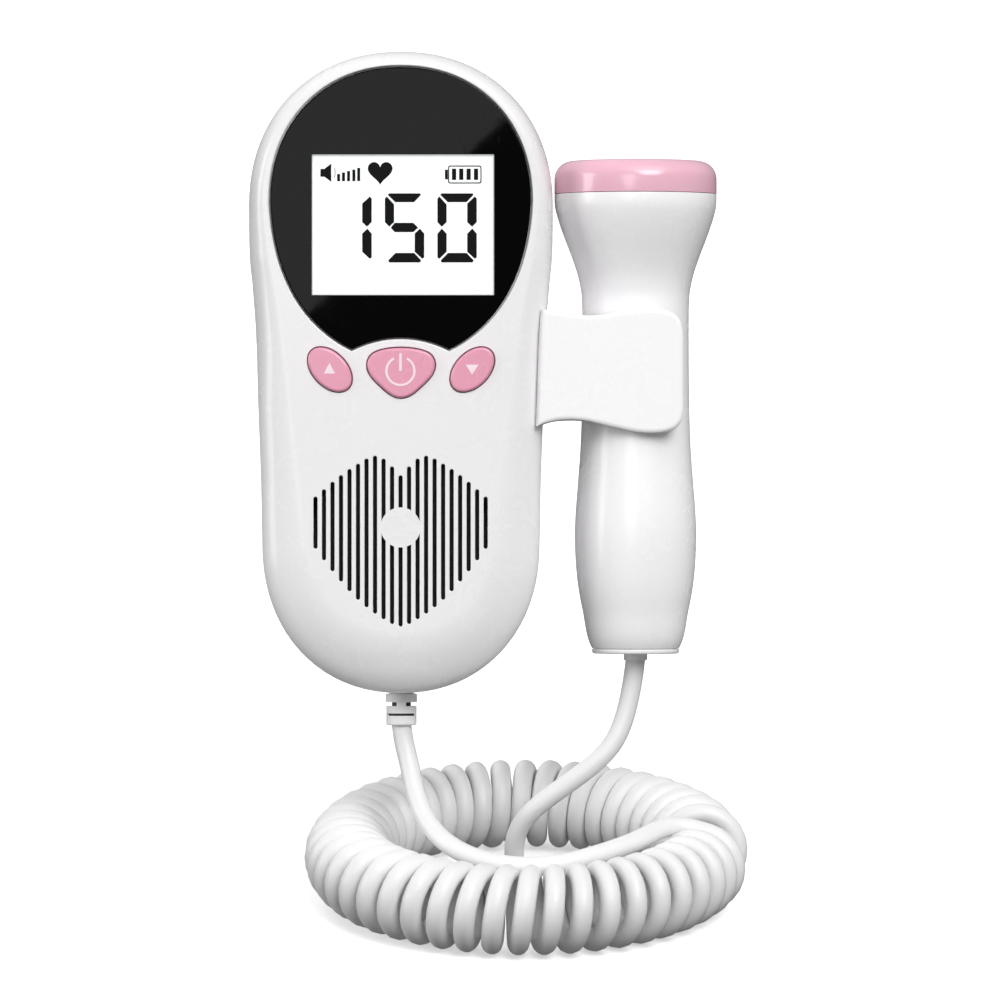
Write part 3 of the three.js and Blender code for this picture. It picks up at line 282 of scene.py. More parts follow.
# Cord: a helix wound along a ring, and the leads to the unit and to the probe, in the level frame
CORD_DIAMETER = 4.15
RING_RADIUS = 37.8
CURL_RADIUS = 9.4 - CORD_DIAMETER / 2
RING_CENTRE = Vector((26.6, -32, -97.5))
RING_START = math.radians(11.3)
CURL_PITCH = math.radians(360 / 46)
FIRST_CURL_START = math.radians(78)
CURL_COUNT = 43 + 7 / 15
CURL_STEPS = 24
CURL_POINTS = round(CURL_COUNT * CURL_STEPS)
CURL_TURNS = [CURL_COUNT * i / CURL_POINTS for i in range(CURL_POINTS + 1)]
STRETCHED_TURNS = 1.5
LAST_CURL_STRETCH = 0.8
OUTER_FULLNESS = 0.09
FULLNESS_EASING = 6
LEAD_STEPS = 4
UNIT_LEAD = [
    (0.5, -35.9, -71.4), (1.7, -37.9, -75.2), (2.5, -40.6, -79.1), (3.7, -43.6, -82.6), (5.6, -47.2, -85.6),
    (8.6, -51, -88.1), (12.6, -54.4, -89.8), (17.9, -57.4, -91), (24.2, -59.1, -91.5), (31.4, -58.7, -91.5),
    (38.2, -55.7, -90.9), (44.6, -51.4, -90.2), (50.1, -46.7, -89.6), (53.4, -42.4, -89), (56.9, -39.4, -88.5),
]
PROBE_LEAD = [
    (48.9, -33.9, -58.3), (47.6, -36, -64.2), (45.9, -38, -68.7), (43.6, -39.4, -72), (40.4, -40.3, -74.9),
    (36.4, -40.7, -78), (32, -40.6, -81.3), (28.2, -40, -84.6), (25.4, -39, -88.2), (24, -38, -92.2),
    (23.8, -37.2, -96.4), (25, -36.6, -100.4), (27.8, -36.2, -102.9), (32, -35.9, -104.3), (37, -35.6, -104.7),
    (42.4, -35.3, -104.8),
]


# Settings that a user would change
class FinishSettings(bpy.types.PropertyGroup):
    """Colours and gloss of the moulded pieces"""
    # The clip and the probe take this white made brighter, as painted light
    white: FloatVectorProperty(name="White", description="Colour of the housings, the clip and the probe",
                               subtype="COLOR", default=(0.86, 0.85, 0.86), min=0, max=1)
    pink: FloatVectorProperty(name="Pink", description="Colour of the three push buttons",
                              subtype="COLOR", default=(0.80, 0.335, 0.46), min=0, max=1)
    clear_pink: FloatVectorProperty(name="Clear pink", description="Colour of the see-through cap on the probe's head",
                                    subtype="COLOR", default=(0.95, 0.55, 0.67), min=0, max=1)
    # The strain reliefs take this colour made brighter, as painted light
    cord: FloatVectorProperty(name="Cord", description="Colour of the curly cord and the strain reliefs",
                              subtype="COLOR", default=(0.82, 0.82, 0.825), min=0, max=1)
    gloss: FloatProperty(name="Gloss", description="Roughness of the glossy white plastic",
                         subtype="FACTOR", default=0.26, min=0.02, max=0.8)


class ScreenSettings(bpy.types.PropertyGroup):
    """What the display shows"""
    reading: IntProperty(name="Reading", description="Number on the display, of up to three digits",
                         default=150, min=0, max=999)
    sound_bars: IntProperty(name="Sound bars", description="Bars lit beside the loudspeaker sign",
                            default=5, min=0, max=5)
    charge_bars: IntProperty(name="Charge bars", description="Bars lit in the battery sign",
                             default=4, min=0, max=4)


class StudioSettings(bpy.types.PropertyGroup):
    """Camera and light"""
    focal_length: FloatProperty(name="Focal length", description="Lens of the camera that takes the front view",
                                unit="CAMERA", default=300, min=50, max=800)
    key_power: FloatProperty(name="Key light", description="Power of the large soft light from above",
                             subtype="POWER", default=82, min=0, max=2000)
    front_power: FloatProperty(name="Front light", description="Power of the soft light from the front and the right",
                               subtype="POWER", default=46, min=0, max=500)
    fill_power: FloatProperty(name="Fill light", description="Power of the soft light from the left",
                              subtype="POWER", default=10, min=0, max=500)
    back_power: FloatProperty(name="Back light", description="Power of the soft light from behind",
                              subtype="POWER", default=40, min=0, max=500)
    card_power: FloatProperty(name="Card", description="Power of the dim card that the screen's lens reflects",
                              subtype="POWER", default=4.1, min=0, max=50)
    room: FloatProperty(name="Room", description="Strength of the even light from all around",
                        default=0.3, min=0, max=3)
    room_below: FloatProperty(name="Room below", description="Share of the room's light that comes back from below",
                              subtype="FACTOR", default=0.5, min=0, max=1)


# Curves and outlines
def smooth(points, per):
    """A curve through the points that keeps to them where they lie close together"""
    points = [Vector(p) for p in points]
    run = [points[0] * 2 - points[1], *points, points[-1] * 2 - points[-2]]
    curve = []
    for i in range(1, len(points)):
        a, b, c, d = run[i - 1:i + 3]
        first, middle, last = [max((q - p).length, 1e-6) ** 0.5 for p, q in ((a, b), (b, c), (c, d))]
        leave = ((b - a) / first - (c - a) / (first + middle) + (c - b) / middle) * middle
        arrive = ((c - b) / middle - (d - b) / (middle + last) + (d - c) / last) * middle
        for step in range(per):
            t = step / per
            curve.append(
                b * (2 * t ** 3 - 3 * t ** 2 + 1) + leave * (t ** 3 - 2 * t ** 2 + t)
                + c * (3 * t ** 2 - 2 * t ** 3) + arrive * (t ** 3 - t ** 2)
            )
    return [*curve, points[-1]]


def quarter(steps):
    """The angles of a quarter turn, in even steps"""
    return [math.pi / 2 * i / steps for i in range(steps + 1)]


def bowed_quarter(width, height, steps):
    """A quarter of a full-bodied ellipse, from its side to its top"""
    bow = 2 / OUTLINE_POWER
    return [(width * math.cos(a) ** bow, height * math.sin(a) ** bow) for a in quarter(steps)[:-1]] + [(0, height)]


def mirrored(half):
    """A loop from its right half, which runs from bottom to top"""
    return [*half, *[(-x, z) for x, z in reversed(half[1:-1])]]


def moved(loop, across, up):
    return [(x + across, z + up) for x, z in loop]


def grown(loop, distance):
    """The loop moved outwards by a distance, or by one for each point, or inwards by a negative one"""
    result = []
    distances = distance if isinstance(distance, list) else [distance] * len(loop)
    for i, ((x, z), distance) in enumerate(zip(loop, distances)):
        before = Vector((x - loop[i - 1][0], z - loop[i - 1][1])).normalized()
        after = Vector((loop[(i + 1) % len(loop)][0] - x, loop[(i + 1) % len(loop)][1] - z)).normalized()
        outward = Vector((before.y + after.y, -before.x - after.x)).normalized()
        spread = max(outward.x * after.y - outward.y * after.x, 0.6)
        result.append((x + outward.x * distance / spread, z + outward.y * distance / spread))
    return result


def oval(halves, tilt, middle=(0, 0), steps=64):
    """An ellipse, or a circle, whose tilt is in radians"""
    turn = Matrix.Rotation(tilt, 2)
    ring = [turn @ Vector((halves[0] * math.cos(a), halves[1] * math.sin(a)))
            for a in (math.tau * i / steps for i in range(steps))]
    return [(p.x + middle[0], p.y + middle[1]) for p in ring]


def rounded_box(left, right, bottom, top, radius, steps=6):
    corners = [(right, bottom, -90), (right, top, 0), (left, top, 90), (left, bottom, 180)]
    loop = []
    for x, z, start in corners:
        cx = x + (radius if x == left else -radius)
        cz = z + (radius if z == bottom else -radius)
        for i in range(steps + 1):
            turn = math.radians(start + 90 * i / steps)
            loop.append((cx + radius * math.cos(turn), cz + radius * math.sin(turn)))
    return loop


def eased(profile, steps=4):
    """A closed profile whose corners are rounded over where a third value gives the length of the round"""
    result = []
    for i, (radius, height, *size) in enumerate(profile):
        place = Vector((radius, height))
        if not size:
            result.append(tuple(place))
            continue
        before, after = [
            place + (Vector(other[:2]) - place).normalized() * size[0]
            for other in (profile[i - 1], profile[(i + 1) % len(profile)])
        ]
        for k in range(steps + 1):
            t = k / steps
            result.append(tuple(before * (1 - t) ** 2 + place * 2 * t * (1 - t) + after * t ** 2))
    return result


def unit_outline():
    """The hand unit from the front: a wide bowed top, sides that draw in and a narrower foot"""
    bottom = [(x, LOWEST_SIDE - z) for x, z in bowed_quarter(LOWER_HALF, BOTTOM_CURVE, BOTTOM_STEPS)][::-1]
    side = smooth([
        (LOWER_HALF + (UPPER_HALF - LOWER_HALF) * wide, LOWEST_SIDE + (WIDEST - LOWEST_SIDE) * rise)
        for rise, wide in [(0, 0), *SIDE_SHARES, (1, 1)]
    ], SIDE_STEPS)[1:-1]
    top = [(x, WIDEST + z) for x, z in bowed_quarter(UPPER_HALF, TOP_CURVE, TOP_STEPS)]
    return mirrored([*bottom, *[tuple(p) for p in side], *top])


def lens_outline():
    """The lens: an arched top, flanks that run in to two cusps, and a notch between them"""
    top = [(x, LENS_WIDEST + z) for x, z in bowed_quarter(LENS_HALF, LENS_TOP_CURVE, TOP_STEPS)]
    drop = LENS_WIDEST - CUSP[1]
    pulls = [(LENS_HALF * across, CUSP[1] + drop * up) for across, up in FLANK_SHARES]
    hull = [CUSP, *pulls, (LENS_HALF, LENS_WIDEST)]
    flank = []
    for i in range(TOP_STEPS + 1):
        t = i / TOP_STEPS
        weights = ((1 - t) ** 3, 3 * t * (1 - t) ** 2, 3 * t ** 2 * (1 - t), t ** 3)
        flank.append(tuple(sum(w * p[k] for w, p in zip(weights, hull)) for k in (0, 1)))
    radius = (CUSP[0] ** 2 + NOTCH_RISE ** 2) / (2 * NOTCH_RISE)
    reach = math.asin(CUSP[0] / radius)
    turns = [reach * i / NOTCH_STEPS for i in range(NOTCH_STEPS)]
    notch = [(radius * math.sin(a), CUSP[1] + NOTCH_RISE - radius * (1 - math.cos(a))) for a in turns]
    return mirrored([*notch, *flank, *top[1:]])


def button_loops():
    """Outline and middle of each button"""
    half = smooth([(POWER_HALVES[0] * x, POWER_HALVES[1] * z) for x, z in reversed(POWER_SHARES)], 4)
    return {
        "power": (mirrored([tuple(p) for p in half]), POWER_PLACE),
        "volume_up": (oval(VOLUME_HALVES, math.radians(-VOLUME_TILT)), VOLUME_UP_PLACE),
        "volume_down": (oval(VOLUME_HALVES, math.radians(VOLUME_TILT)), VOLUME_DOWN_PLACE),
    }


def slot_loop(x, bottom, top):
    radius = SLOT_WIDTH / 2
    turns = [math.pi * i / 8 for i in range(9)]
    upper = [(x + radius * math.cos(a), top - radius + radius * math.sin(a)) for a in turns]
    lower = [(x - radius * math.cos(a), bottom + radius - radius * math.sin(a)) for a in turns]
    return [*upper, *lower]


def clip_loop():
    """The clip's arm from the front, from its root under the unit round its wavy edges"""
    top, bottom = [
        [tuple(p) for p in smooth(
            [(CLIP_ROOT + CLIP_REACH * along, CLIP_MIDDLE + CLIP_HALF * up) for along, up in shares], 5)]
        for shares in (CLIP_TOP_SHARES, CLIP_BOTTOM_SHARES)
    ]
    left = CLIP_ROOT - CLIP_OVERLAP
    return [(left, bottom[-1][1]), *bottom[::-1], *top[::-1], (left, top[0][1])]


def probe_profile():
    """The probe's outer side, from the seam under its cap down to its end"""
    top, bottom = WAIST_ENDS
    end = PROBE_BOTTOM + END_SEAM

    def eased_between(start, finish, small, large, shares):
        return [(small + (large - small) * wide, start + (finish - start) * down) for down, wide in shares]

    return [
        (HEAD_RADIUS, CAP_SEAM - HAIRLINE),
        *eased_between(CAP_SEAM, top, WAIST_RADIUS, HEAD_RADIUS, NECK_SHARES),
        (WAIST_RADIUS, top), (WAIST_RADIUS, bottom),
        *eased_between(bottom, BULGE_HEIGHT, WAIST_RADIUS, BULGE_RADIUS, SWELL_SHARES),
        (BULGE_RADIUS, BULGE_HEIGHT),
        *eased_between(BULGE_HEIGHT, end, END_RADIUS, BULGE_RADIUS, TAIL_SHARES),
        (END_RADIUS, end),
    ]


# Modelling
def take(*objects):
    """Selects only these objects, the first of them active"""
    bpy.ops.object.select_all(action="DESELECT")
    for obj in objects:
        obj.select_set(True)
    bpy.context.view_layer.objects.active = objects[0]
    return objects[0]


def named(name):
    obj = bpy.context.object
    obj.name = obj.data.name = name
    return obj


def linked(name, data):
    """A new object in the scene"""
    obj = bpy.data.objects.new(name, data)
    bpy.context.scene.collection.objects.link(obj)
    return obj


def outwards(obj, merge=0.001):
    """Merges doubles and turns every face outwards"""
    take(obj)
    bpy.ops.object.mode_set(mode="EDIT")
    bpy.ops.mesh.select_all(action="SELECT")
    bpy.ops.mesh.remove_doubles(threshold=merge)
    bpy.ops.mesh.normals_make_consistent(inside=False)
    bpy.ops.object.mode_set(mode="OBJECT")
    return obj


def loft(name, loops, depths):
    """A closed body drawn from a flat outline through further outlines, each at its own depth"""
    bpy.ops.object.select_all(action="DESELECT")
    bpy.ops.mesh.primitive_circle_add(vertices=len(loops[0]), fill_type="NGON", enter_editmode=True)
    obj = bpy.context.object
    mesh = bmesh.from_edit_mesh(obj.data)
    for vertex, (x, z) in zip(mesh.verts, loops[0]):
        vertex.co = (x, depths[0], z)
    for i in range(1, len(loops)):
        bpy.ops.mesh.extrude_region()
        mesh = bmesh.from_edit_mesh(obj.data)
        place = {tuple(Vector(point)): k for k, point in enumerate(loops[i - 1])}
        for vertex in mesh.verts:
            if vertex.select:
                x, z = loops[i][place[(vertex.co.x, vertex.co.z)]]
                vertex.co = (x, depths[i], z)
    bmesh.update_edit_mesh(obj.data)
    bpy.ops.mesh.select_all(action="SELECT")
    bpy.ops.mesh.normals_make_consistent(inside=False)
    bpy.ops.object.mode_set(mode="OBJECT")
    return named(name)


def prism(name, loop, front, back):
    """A straight body of one outline"""
    return loft(name, [loop, loop], [front, back])


def rolled(loop, front, back, front_round=(0, 0), back_round=(0, 0), steps=8):
    """Outlines and depths of a plate whose front and back edges roll over"""
    stations = {front: 0, back: 0}
    for turn in quarter(steps):
        for edge, side, (width, depth) in ((front, 1, front_round), (back, -1, back_round)):
            if width:
                stations[round(edge + side * depth * (1 - math.cos(turn)), 5)] = width * (1 - math.sin(turn))
    depths = sorted(stations)
    return [grown(loop, -stations[y]) for y in depths], depths


def domed(loop, front, back, depth, steps):
    """Outlines and depths of the front shell, whose rolled edge widens towards the unit's foot"""
    widths = [ROLL_WIDTH + ROLL_WIDENING * max(ROLL_TOP - z, 0) for _, z in loop]
    loops = [grown(loop, [-width * (1 - math.sin(turn)) for width in widths]) for turn in quarter(steps)]
    return [*loops, loop], [*(front + depth * (1 - math.cos(turn)) for turn in quarter(steps)), back]


def plate(name, loop, front, back, front_round=(0, 0), back_round=(0, 0), steps=8):
    return loft(name, *rolled(loop, front, back, front_round, back_round, steps))


def opening(name, loop, face, bottom, lip, steps=4):
    """A cutter for an opening in a face, whose mouth is rounded over by lip"""
    outer = grown(loop, lip)
    side = 1 if bottom > face else -1
    loops, depths = [outer, outer], [face - side * PAST, face]
    for turn in quarter(steps)[1:]:
        loops.append(grown(loop, lip * (1 - math.sin(turn))))
        depths.append(face + side * lip * (1 - math.cos(turn)))
    return loft(name, [*loops, loop], [*depths, bottom])


def block(name, left, right, front, back, bottom, top):
    bpy.ops.object.select_all(action="DESELECT")
    bpy.ops.mesh.primitive_cube_add(size=1)
    obj = named(name)
    obj.data.transform(
        Matrix.Translation(((left + right) / 2, (front + back) / 2, (bottom + top) / 2))
        @ Matrix.Diagonal((right - left, back - front, top - bottom, 1))
    )
    return obj


def spun(name, profile, steps=72, closed=False, axis=(0, 0)):
    """A piece turned about an upright axis, from radius and height"""
    bpy.ops.object.select_all(action="DESELECT")
    mesh = bpy.data.meshes.new(name)
    edges = [(i, i + 1) for i in range(len(profile) - 1)] + ([(len(profile) - 1, 0)] if closed else [])
    mesh.from_pydata([(radius, 0, height) for radius, height in profile], edges, [])
    obj = take(linked(name, mesh))
    bpy.ops.object.mode_set(mode="EDIT")
    bpy.ops.mesh.select_all(action="SELECT")
    bpy.ops.mesh.spin(steps=steps, angle=math.tau, center=(0, 0, 0), axis=(0, 0, 1), use_auto_merge=True)
    bpy.ops.object.mode_set(mode="OBJECT")
    outwards(obj)
    obj.data.transform(Matrix.Translation((*axis, 0)))
    return obj


def drum(name, radius, x, z, front, back, steps=48, edge=0.0):
    """A round plate or pin that faces the front"""
    ring = oval((radius, radius), 0, (x, z), steps)
    return plate(name, ring, front, back, (edge, edge), (edge, edge), 3)


def laid(obj, place, degrees=0, axis="Z"):
    """Turns a piece about one of its own axes and then moves it to its place"""
    obj.data.transform(Matrix.Translation(place) @ Matrix.Rotation(math.radians(degrees), 4, axis))
    return obj


def shape_with(obj, tools, how="DIFFERENCE"):
    """Cuts the tools from a body, or joins them to it, and deletes them"""
    for tool in tools:
        take(obj)
        modifier = obj.modifiers.new("shape", "BOOLEAN")
        modifier.operation, modifier.solver, modifier.object = how, "EXACT", tool
        bpy.ops.object.modifier_apply(modifier=modifier.name)
        bpy.data.meshes.remove(tool.data)
    return obj


def gathered(name, parts):
    """One object made of the parts"""
    take(*parts)
    if len(parts) > 1:
        bpy.ops.object.join()
    return named(name)


def put(obj, name, body, slot, finish, *stands_for, angle=35, weighted=False):
    """Gives a finished piece its name, shading, place in the row's frame, body and material"""
    take(obj)
    bpy.ops.object.shade_smooth_by_angle(angle=math.radians(angle))
    if weighted:
        modifier = obj.modifiers.new("flats", "WEIGHTED_NORMAL")
        modifier.keep_sharp, modifier.weight = True, 80
        bpy.ops.object.modifier_apply(modifier=modifier.name)
    obj.name = obj.data.name = name
    obj.data.transform(DEVICE)
    obj.data.materials.clear()
    obj.data.materials.append(finishes[finish])
    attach(obj, body)
    if stands_for:
        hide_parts(*stands_for)
    return obj


FLAT_FACED = {"angle": 30, "weighted": True}


# Materials
groups = {}
finishes = {}


def new_group(name, inputs, outputs):
    """A shader node group with named sockets, and its two end nodes"""
    group = bpy.data.node_groups.new(name, "ShaderNodeTree")
    for label, kind, value in inputs:
        socket = group.interface.new_socket(label, in_out="INPUT", socket_type="NodeSocket" + kind)
        socket.default_value = value
    for label, kind in outputs:
        group.interface.new_socket(label, in_out="OUTPUT", socket_type="NodeSocket" + kind)
    return group, group.nodes.new("NodeGroupInput"), group.nodes.new("NodeGroupOutput")


def feed(tree, socket, value):
    """Links a socket to another, or gives it a plain value"""
    if isinstance(value, bpy.types.NodeSocket):
        tree.links.new(value, socket)
    elif value is not None:
        socket.default_value = value


def node(tree, kind, settings=None, **inputs):
    """A node with its settings, its plain values and its links"""
    made = tree.nodes.new("ShaderNode" + kind)
    for key, value in (settings or {}).items():
        setattr(made, key, value)
    for key, value in inputs.items():
        feed(tree, made.inputs[key.replace("_", " ")], value)
    return made


def sums(tree, how, a, b, c=None, limit=False):
    """One number worked out from others"""
    made = node(tree, "Math", {"operation": how, "use_clamp": limit})
    for socket, value in zip(made.inputs, (a, b, c)):
        feed(tree, socket, value)
    return made.outputs[0]


def scaled(tree, value, low, high, from_low=0.0, from_high=1.0):
    """One number moved from one range to another"""
    made = node(tree, "MapRange", Value=value, From_Min=from_low, From_Max=from_high, To_Min=low, To_Max=high)
    return made.outputs["Result"]


def blended(tree, factor, first, second, how="MIX"):
    """One colour over another"""
    made = node(tree, "Mix", {"data_type": "RGBA", "blend_type": how})
    for index, value in ((0, factor), (6, first), (7, second)):
        feed(tree, made.inputs[index], value)
    return made.outputs[2]


def grey(tree, tone):
    """A grey of a tone that changes over the surface"""
    return node(tree, "CombineColor", Red=tone, Green=tone, Blue=tone).outputs[0]


def object_place(tree):
    return node(tree, "TexCoord").outputs["Object"]


def moulded_skin():
    """Moulded plastic: faint cloudiness of tone, handling marks in the gloss and the ripple of the mould's skin"""
    tree, given, result = new_group("Moulded skin", [
        ("Colour", "Color", (0.8, 0.8, 0.8, 1)), ("Cloudiness", "Float", 0.04), ("Roughness", "Float", 0.2),
        ("Handling", "Float", 0.08), ("Ripple size", "Float", 400.0), ("Ripple depth", "Float", 0.05),
    ], [("Colour", "Color"), ("Roughness", "Float"), ("Normal", "Vector")])
    place = object_place(tree)
    cloud = node(tree, "TexNoise", Vector=place, Scale=38.0, Detail=3.0, Roughness=0.6)
    drift = sums(tree, "SUBTRACT", cloud.outputs["Fac"], 0.5)
    tint = grey(tree, sums(tree, "MULTIPLY_ADD", drift, given.outputs["Cloudiness"], 1.0))
    feed(tree, result.inputs["Colour"], blended(tree, 1.0, given.outputs["Colour"], tint, "MULTIPLY"))
    smear = node(tree, "TexNoise", Vector=place, Scale=85.0, Detail=4.0, Roughness=0.65, Distortion=0.6)
    marks = scaled(tree, smear.outputs["Fac"], 0.0, 1.0, 0.5, 0.75)
    feed(tree, result.inputs["Roughness"],
         sums(tree, "MULTIPLY_ADD", marks, given.outputs["Handling"], given.outputs["Roughness"], True))
    ripple = node(tree, "TexNoise", Vector=place, Scale=given.outputs["Ripple size"], Detail=2.0)
    bump = node(tree, "Bump", Strength=given.outputs["Ripple depth"], Distance=0.0004,
                Height=ripple.outputs["Fac"])
    feed(tree, result.inputs["Normal"], bump.outputs["Normal"])
    return tree


def fine_scratches():
    """A mask of hair-fine wiping scratches in two directions"""
    tree, given, result = new_group("Fine scratches", [("Scale", "Float", 900.0)], [("Mask", "Float")])
    place = object_place(tree)
    layers = []
    for turn, stretch in ((0.35, 0.06), (1.25, 0.09)):
        drawn = node(tree, "Mapping", Vector=place, Rotation=(0, turn, 0.2), Scale=(1, 1, stretch))
        streak = node(tree, "TexNoise", Vector=drawn.outputs[0], Scale=given.outputs["Scale"], Detail=1.0)
        layers.append(scaled(tree, streak.outputs["Fac"], 0.0, 1.0, 0.68, 0.74))
    feed(tree, result.inputs["Mask"], sums(tree, "MAXIMUM", *layers))
    return tree


def circuit_pattern():
    """Copper tracks and pads under the lacquer of a circuit board"""
    tree, given, result = new_group(
        "Circuit pattern", [("Scale", "Float", 320.0)], [("Tracks", "Float"), ("Height", "Float")])
    place, scale = object_place(tree), given.outputs["Scale"]
    cells = node(tree, "TexVoronoi", {"distance": "CHEBYCHEV"}, Vector=place, Scale=scale, Randomness=0.75)
    pads = scaled(tree, cells.outputs["Distance"], 1.0, 0.0, 0.12, 0.16)
    lines = node(tree, "TexBrick", {"offset": 0.37, "squash": 1.8, "squash_frequency": 3}, Vector=place,
                 Scale=scale, Mortar_Size=0.05, Mortar_Smooth=0.2, Brick_Width=1.4, Row_Height=0.35)
    tracks = sums(tree, "MAXIMUM", pads, lines.outputs["Fac"])
    feed(tree, result.inputs["Tracks"], tracks)
    feed(tree, result.inputs["Height"], tracks)
    return tree


def placed_group(tree, name):
    made = tree.nodes.new("ShaderNodeGroup")
    made.node_tree = groups[name]
    return made


def material(name, roughness, colour, cloudiness=0.03, handling=0.06, ripple=(420.0, 0.04), **plain):
    """A moulded finish, whose plain values are set on the shader's own sockets"""
    made = bpy.data.materials.new(name)
    made.use_nodes = True
    tree = made.node_tree
    shader = tree.nodes["Principled BSDF"]
    skin = placed_group(tree, "skin")
    values = ((*colour, 1), cloudiness, roughness, handling, *ripple)
    for socket, value in zip(skin.inputs, values):
        socket.default_value = value
    for source, target in (("Colour", "Base Color"), ("Roughness", "Roughness"), ("Normal", "Normal")):
        feed(tree, shader.inputs[target], skin.outputs[source])
    for key, value in plain.items():
        shader.inputs[key.replace("_", " ")].default_value = value
    return made


def worked(made):
    """The node tree of a moulded finish, its shader and its skin"""
    tree = made.node_tree
    return tree, tree.nodes["Principled BSDF"], tree.nodes["Group"]


def scratched(made, scale, depth):
    """Adds wiping scratches to a finish's roughness"""
    tree, shader, skin = worked(made)
    scratches = placed_group(tree, "scratches")
    scratches.inputs["Scale"].default_value = scale
    feed(tree, shader.inputs["Roughness"],
         sums(tree, "MULTIPLY_ADD", scratches.outputs["Mask"], depth, skin.outputs["Roughness"], True))
    return made


def embossed(made, height, strength, over_skin=True):
    """Adds a fine relief to a finish, over its skin or in its place"""
    tree, shader, skin = worked(made)
    bump = node(tree, "Bump", Strength=strength, Distance=0.0001, Height=height)
    if over_skin:
        feed(tree, bump.inputs["Normal"], skin.outputs["Normal"])
    feed(tree, shader.inputs["Normal"], bump.outputs["Normal"])
    return made


def board_finish():
    """Green lacquer over copper tracks"""
    made = material("board_lacquer", 0.35, (0.03, 0.2, 0.08), Specular_IOR_Level=0.5)
    tree, shader, skin = worked(made)
    pattern = placed_group(tree, "circuit")
    feed(tree, shader.inputs["Base Color"],
         blended(tree, pattern.outputs["Tracks"], skin.outputs["Colour"], (0.10, 0.38, 0.14, 1)))
    return embossed(made, pattern.outputs["Height"], 0.4)


def brushed_finish(name, colour, roughness):
    """Plated metal with a drawn grain"""
    made = material(name, roughness, colour, 0.08, 0.12, (700.0, 0.05), Metallic=1.0)
    tree = made.node_tree
    drawn = node(tree, "Mapping", Vector=object_place(tree), Scale=(1, 1, 0.04))
    grain = node(tree, "TexNoise", Vector=drawn.outputs[0], Scale=2600.0, Detail=2.0)
    return embossed(made, grain.outputs["Fac"], 0.12)


def cloth_finish():
    """Near-black acoustic cloth behind the grille, woven one over one; its blackness is partly painted shade for the
    dark inside the housing
    """
    made = material("grille_cloth", 0.9, (0.006, 0.006, 0.007), 0.2, 0.0, (900.0, 0.1), Sheen_Weight=0.15)
    tree = made.node_tree
    weave, weft = [
        node(tree, "TexWave", {"wave_type": "BANDS", "bands_direction": axis}, Vector=object_place(tree),
             Scale=900.0).outputs["Fac"]
        for axis in "XZ"
    ]
    return embossed(made, sums(tree, "MAXIMUM", weave, weft), 0.5, over_skin=False)


# A colour made lighter by a share: painted light, used for lit copies of a finish
def painted_brighter(colour, share):
    return tuple(min(share * channel, 1) for channel in colour)


class DOPPLER_OT_finishes(bpy.types.Operator):
    """Mixes the materials"""
    bl_idname = "doppler.finishes"
    bl_label = "Finishes"
    bl_options = {"REGISTER", "UNDO"}

    def execute(self, context):
        settings = context.scene.doppler_finish
        white, pale, gloss = tuple(settings.white), tuple(settings.cord), settings.gloss
        groups.update(skin=moulded_skin(), scratches=fine_scratches(), circuit=circuit_pattern())
        moulded = {"Coat_Weight": 0.15, "Coat_Roughness": 0.08, "Specular_IOR_Level": 0.35, "IOR": 1.5}
        finishes.update(
            white=scratched(
                material("white_gloss", gloss, white, 0.03, 0.07, (260.0, 0.03), **moulded), 1500.0, 0.03),
            # The probe and its clip take a brighter copy of the housing white: painted light, standing in for the
            # stronger light that falls on them
            probe_white=scratched(
                material("probe_white", gloss, painted_brighter(white, 1.12), 0.02, 0.05, (260.0, 0.03), **moulded),
                1500.0, 0.03),
            black=scratched(
                material("black_gloss", 0.015, (0.0006, 0.0006, 0.0007), 0.1, 0.015, (120.0, 0.006),
                         Specular_IOR_Level=0.08, IOR=1.5), 1400.0, 0.03),
            display=scratched(
                # The display glass glows faintly of its own: painted light that keeps it white
                material("display_glass", 0.16, (0.86, 0.88, 0.88), 0.015, 0.04, (150.0, 0.01),
                         Emission_Color=(0.95, 0.98, 1, 1), Emission_Strength=0.25), 900.0, 0.1),
            ink=material("display_ink", 0.45, (0.0015, 0.0015, 0.0018), 0.15, 0.05, (900.0, 0.05),
                         Specular_IOR_Level=0.1),
            pink=scratched(
                material("pink_gloss", 0.24, tuple(settings.pink), 0.05, 0.08, (300.0, 0.04), Coat_Weight=0.3,
                         Coat_Roughness=0.08, Subsurface_Weight=0.15, Subsurface_Radius=(0.002, 0.001, 0.001),
                         IOR=1.49), 800.0, 0.1),
            sign=material("white_print", 0.4, (0.95, 0.76, 0.83), 0.04, 0.05, (1500.0, 0.12)),
            clear_pink=material(
                "clear_pink", 0.2, tuple(settings.clear_pink), 0.04, 0.05, (200.0, 0.03),
                Transmission_Weight=0.1, Subsurface_Weight=0.3, Coat_Weight=0.25, Coat_Roughness=0.08,
                Subsurface_Radius=(0.004, 0.002, 0.002), IOR=1.49),
            # The reliefs take the cord's colour made brighter: painted light, lifting them out of the shade under the
            # unit
            rubber=material("pale_rubber", 0.5, painted_brighter(pale, 1.14), 0.05, 0.08, (800.0, 0.12),
                            Sheen_Weight=0.1),
            cord=material("cord_jacket", 0.42, pale, 0.05, 0.1, (650.0, 0.1), Coat_Weight=0.1,
                          Coat_Roughness=0.3, Subsurface_Weight=0.1, Subsurface_Radius=(0.001, 0.001, 0.001)),
            dark=material("dark_plastic", 0.5, (0.012, 0.012, 0.014), 0.2, 0.1, (900.0, 0.15)),
            cloth=cloth_finish(),
            wrap=scratched(
                material("cell_wrap", 0.28, (0.03, 0.032, 0.038), 0.1, 0.1, (260.0, 0.04), Coat_Weight=0.3),
                700.0, 0.15),
            steel=scratched(brushed_finish("plated_steel", (0.62, 0.62, 0.63), 0.28), 900.0, 0.15),
            crystal=brushed_finish("silvered_ceramic", (0.68, 0.66, 0.6), 0.42),
            carrier=material("carrier_plastic", 0.55, (0.52, 0.5, 0.44), 0.08, 0.08, (700.0, 0.12)),
            board=board_finish(),
        )
        return {"FINISHED"}


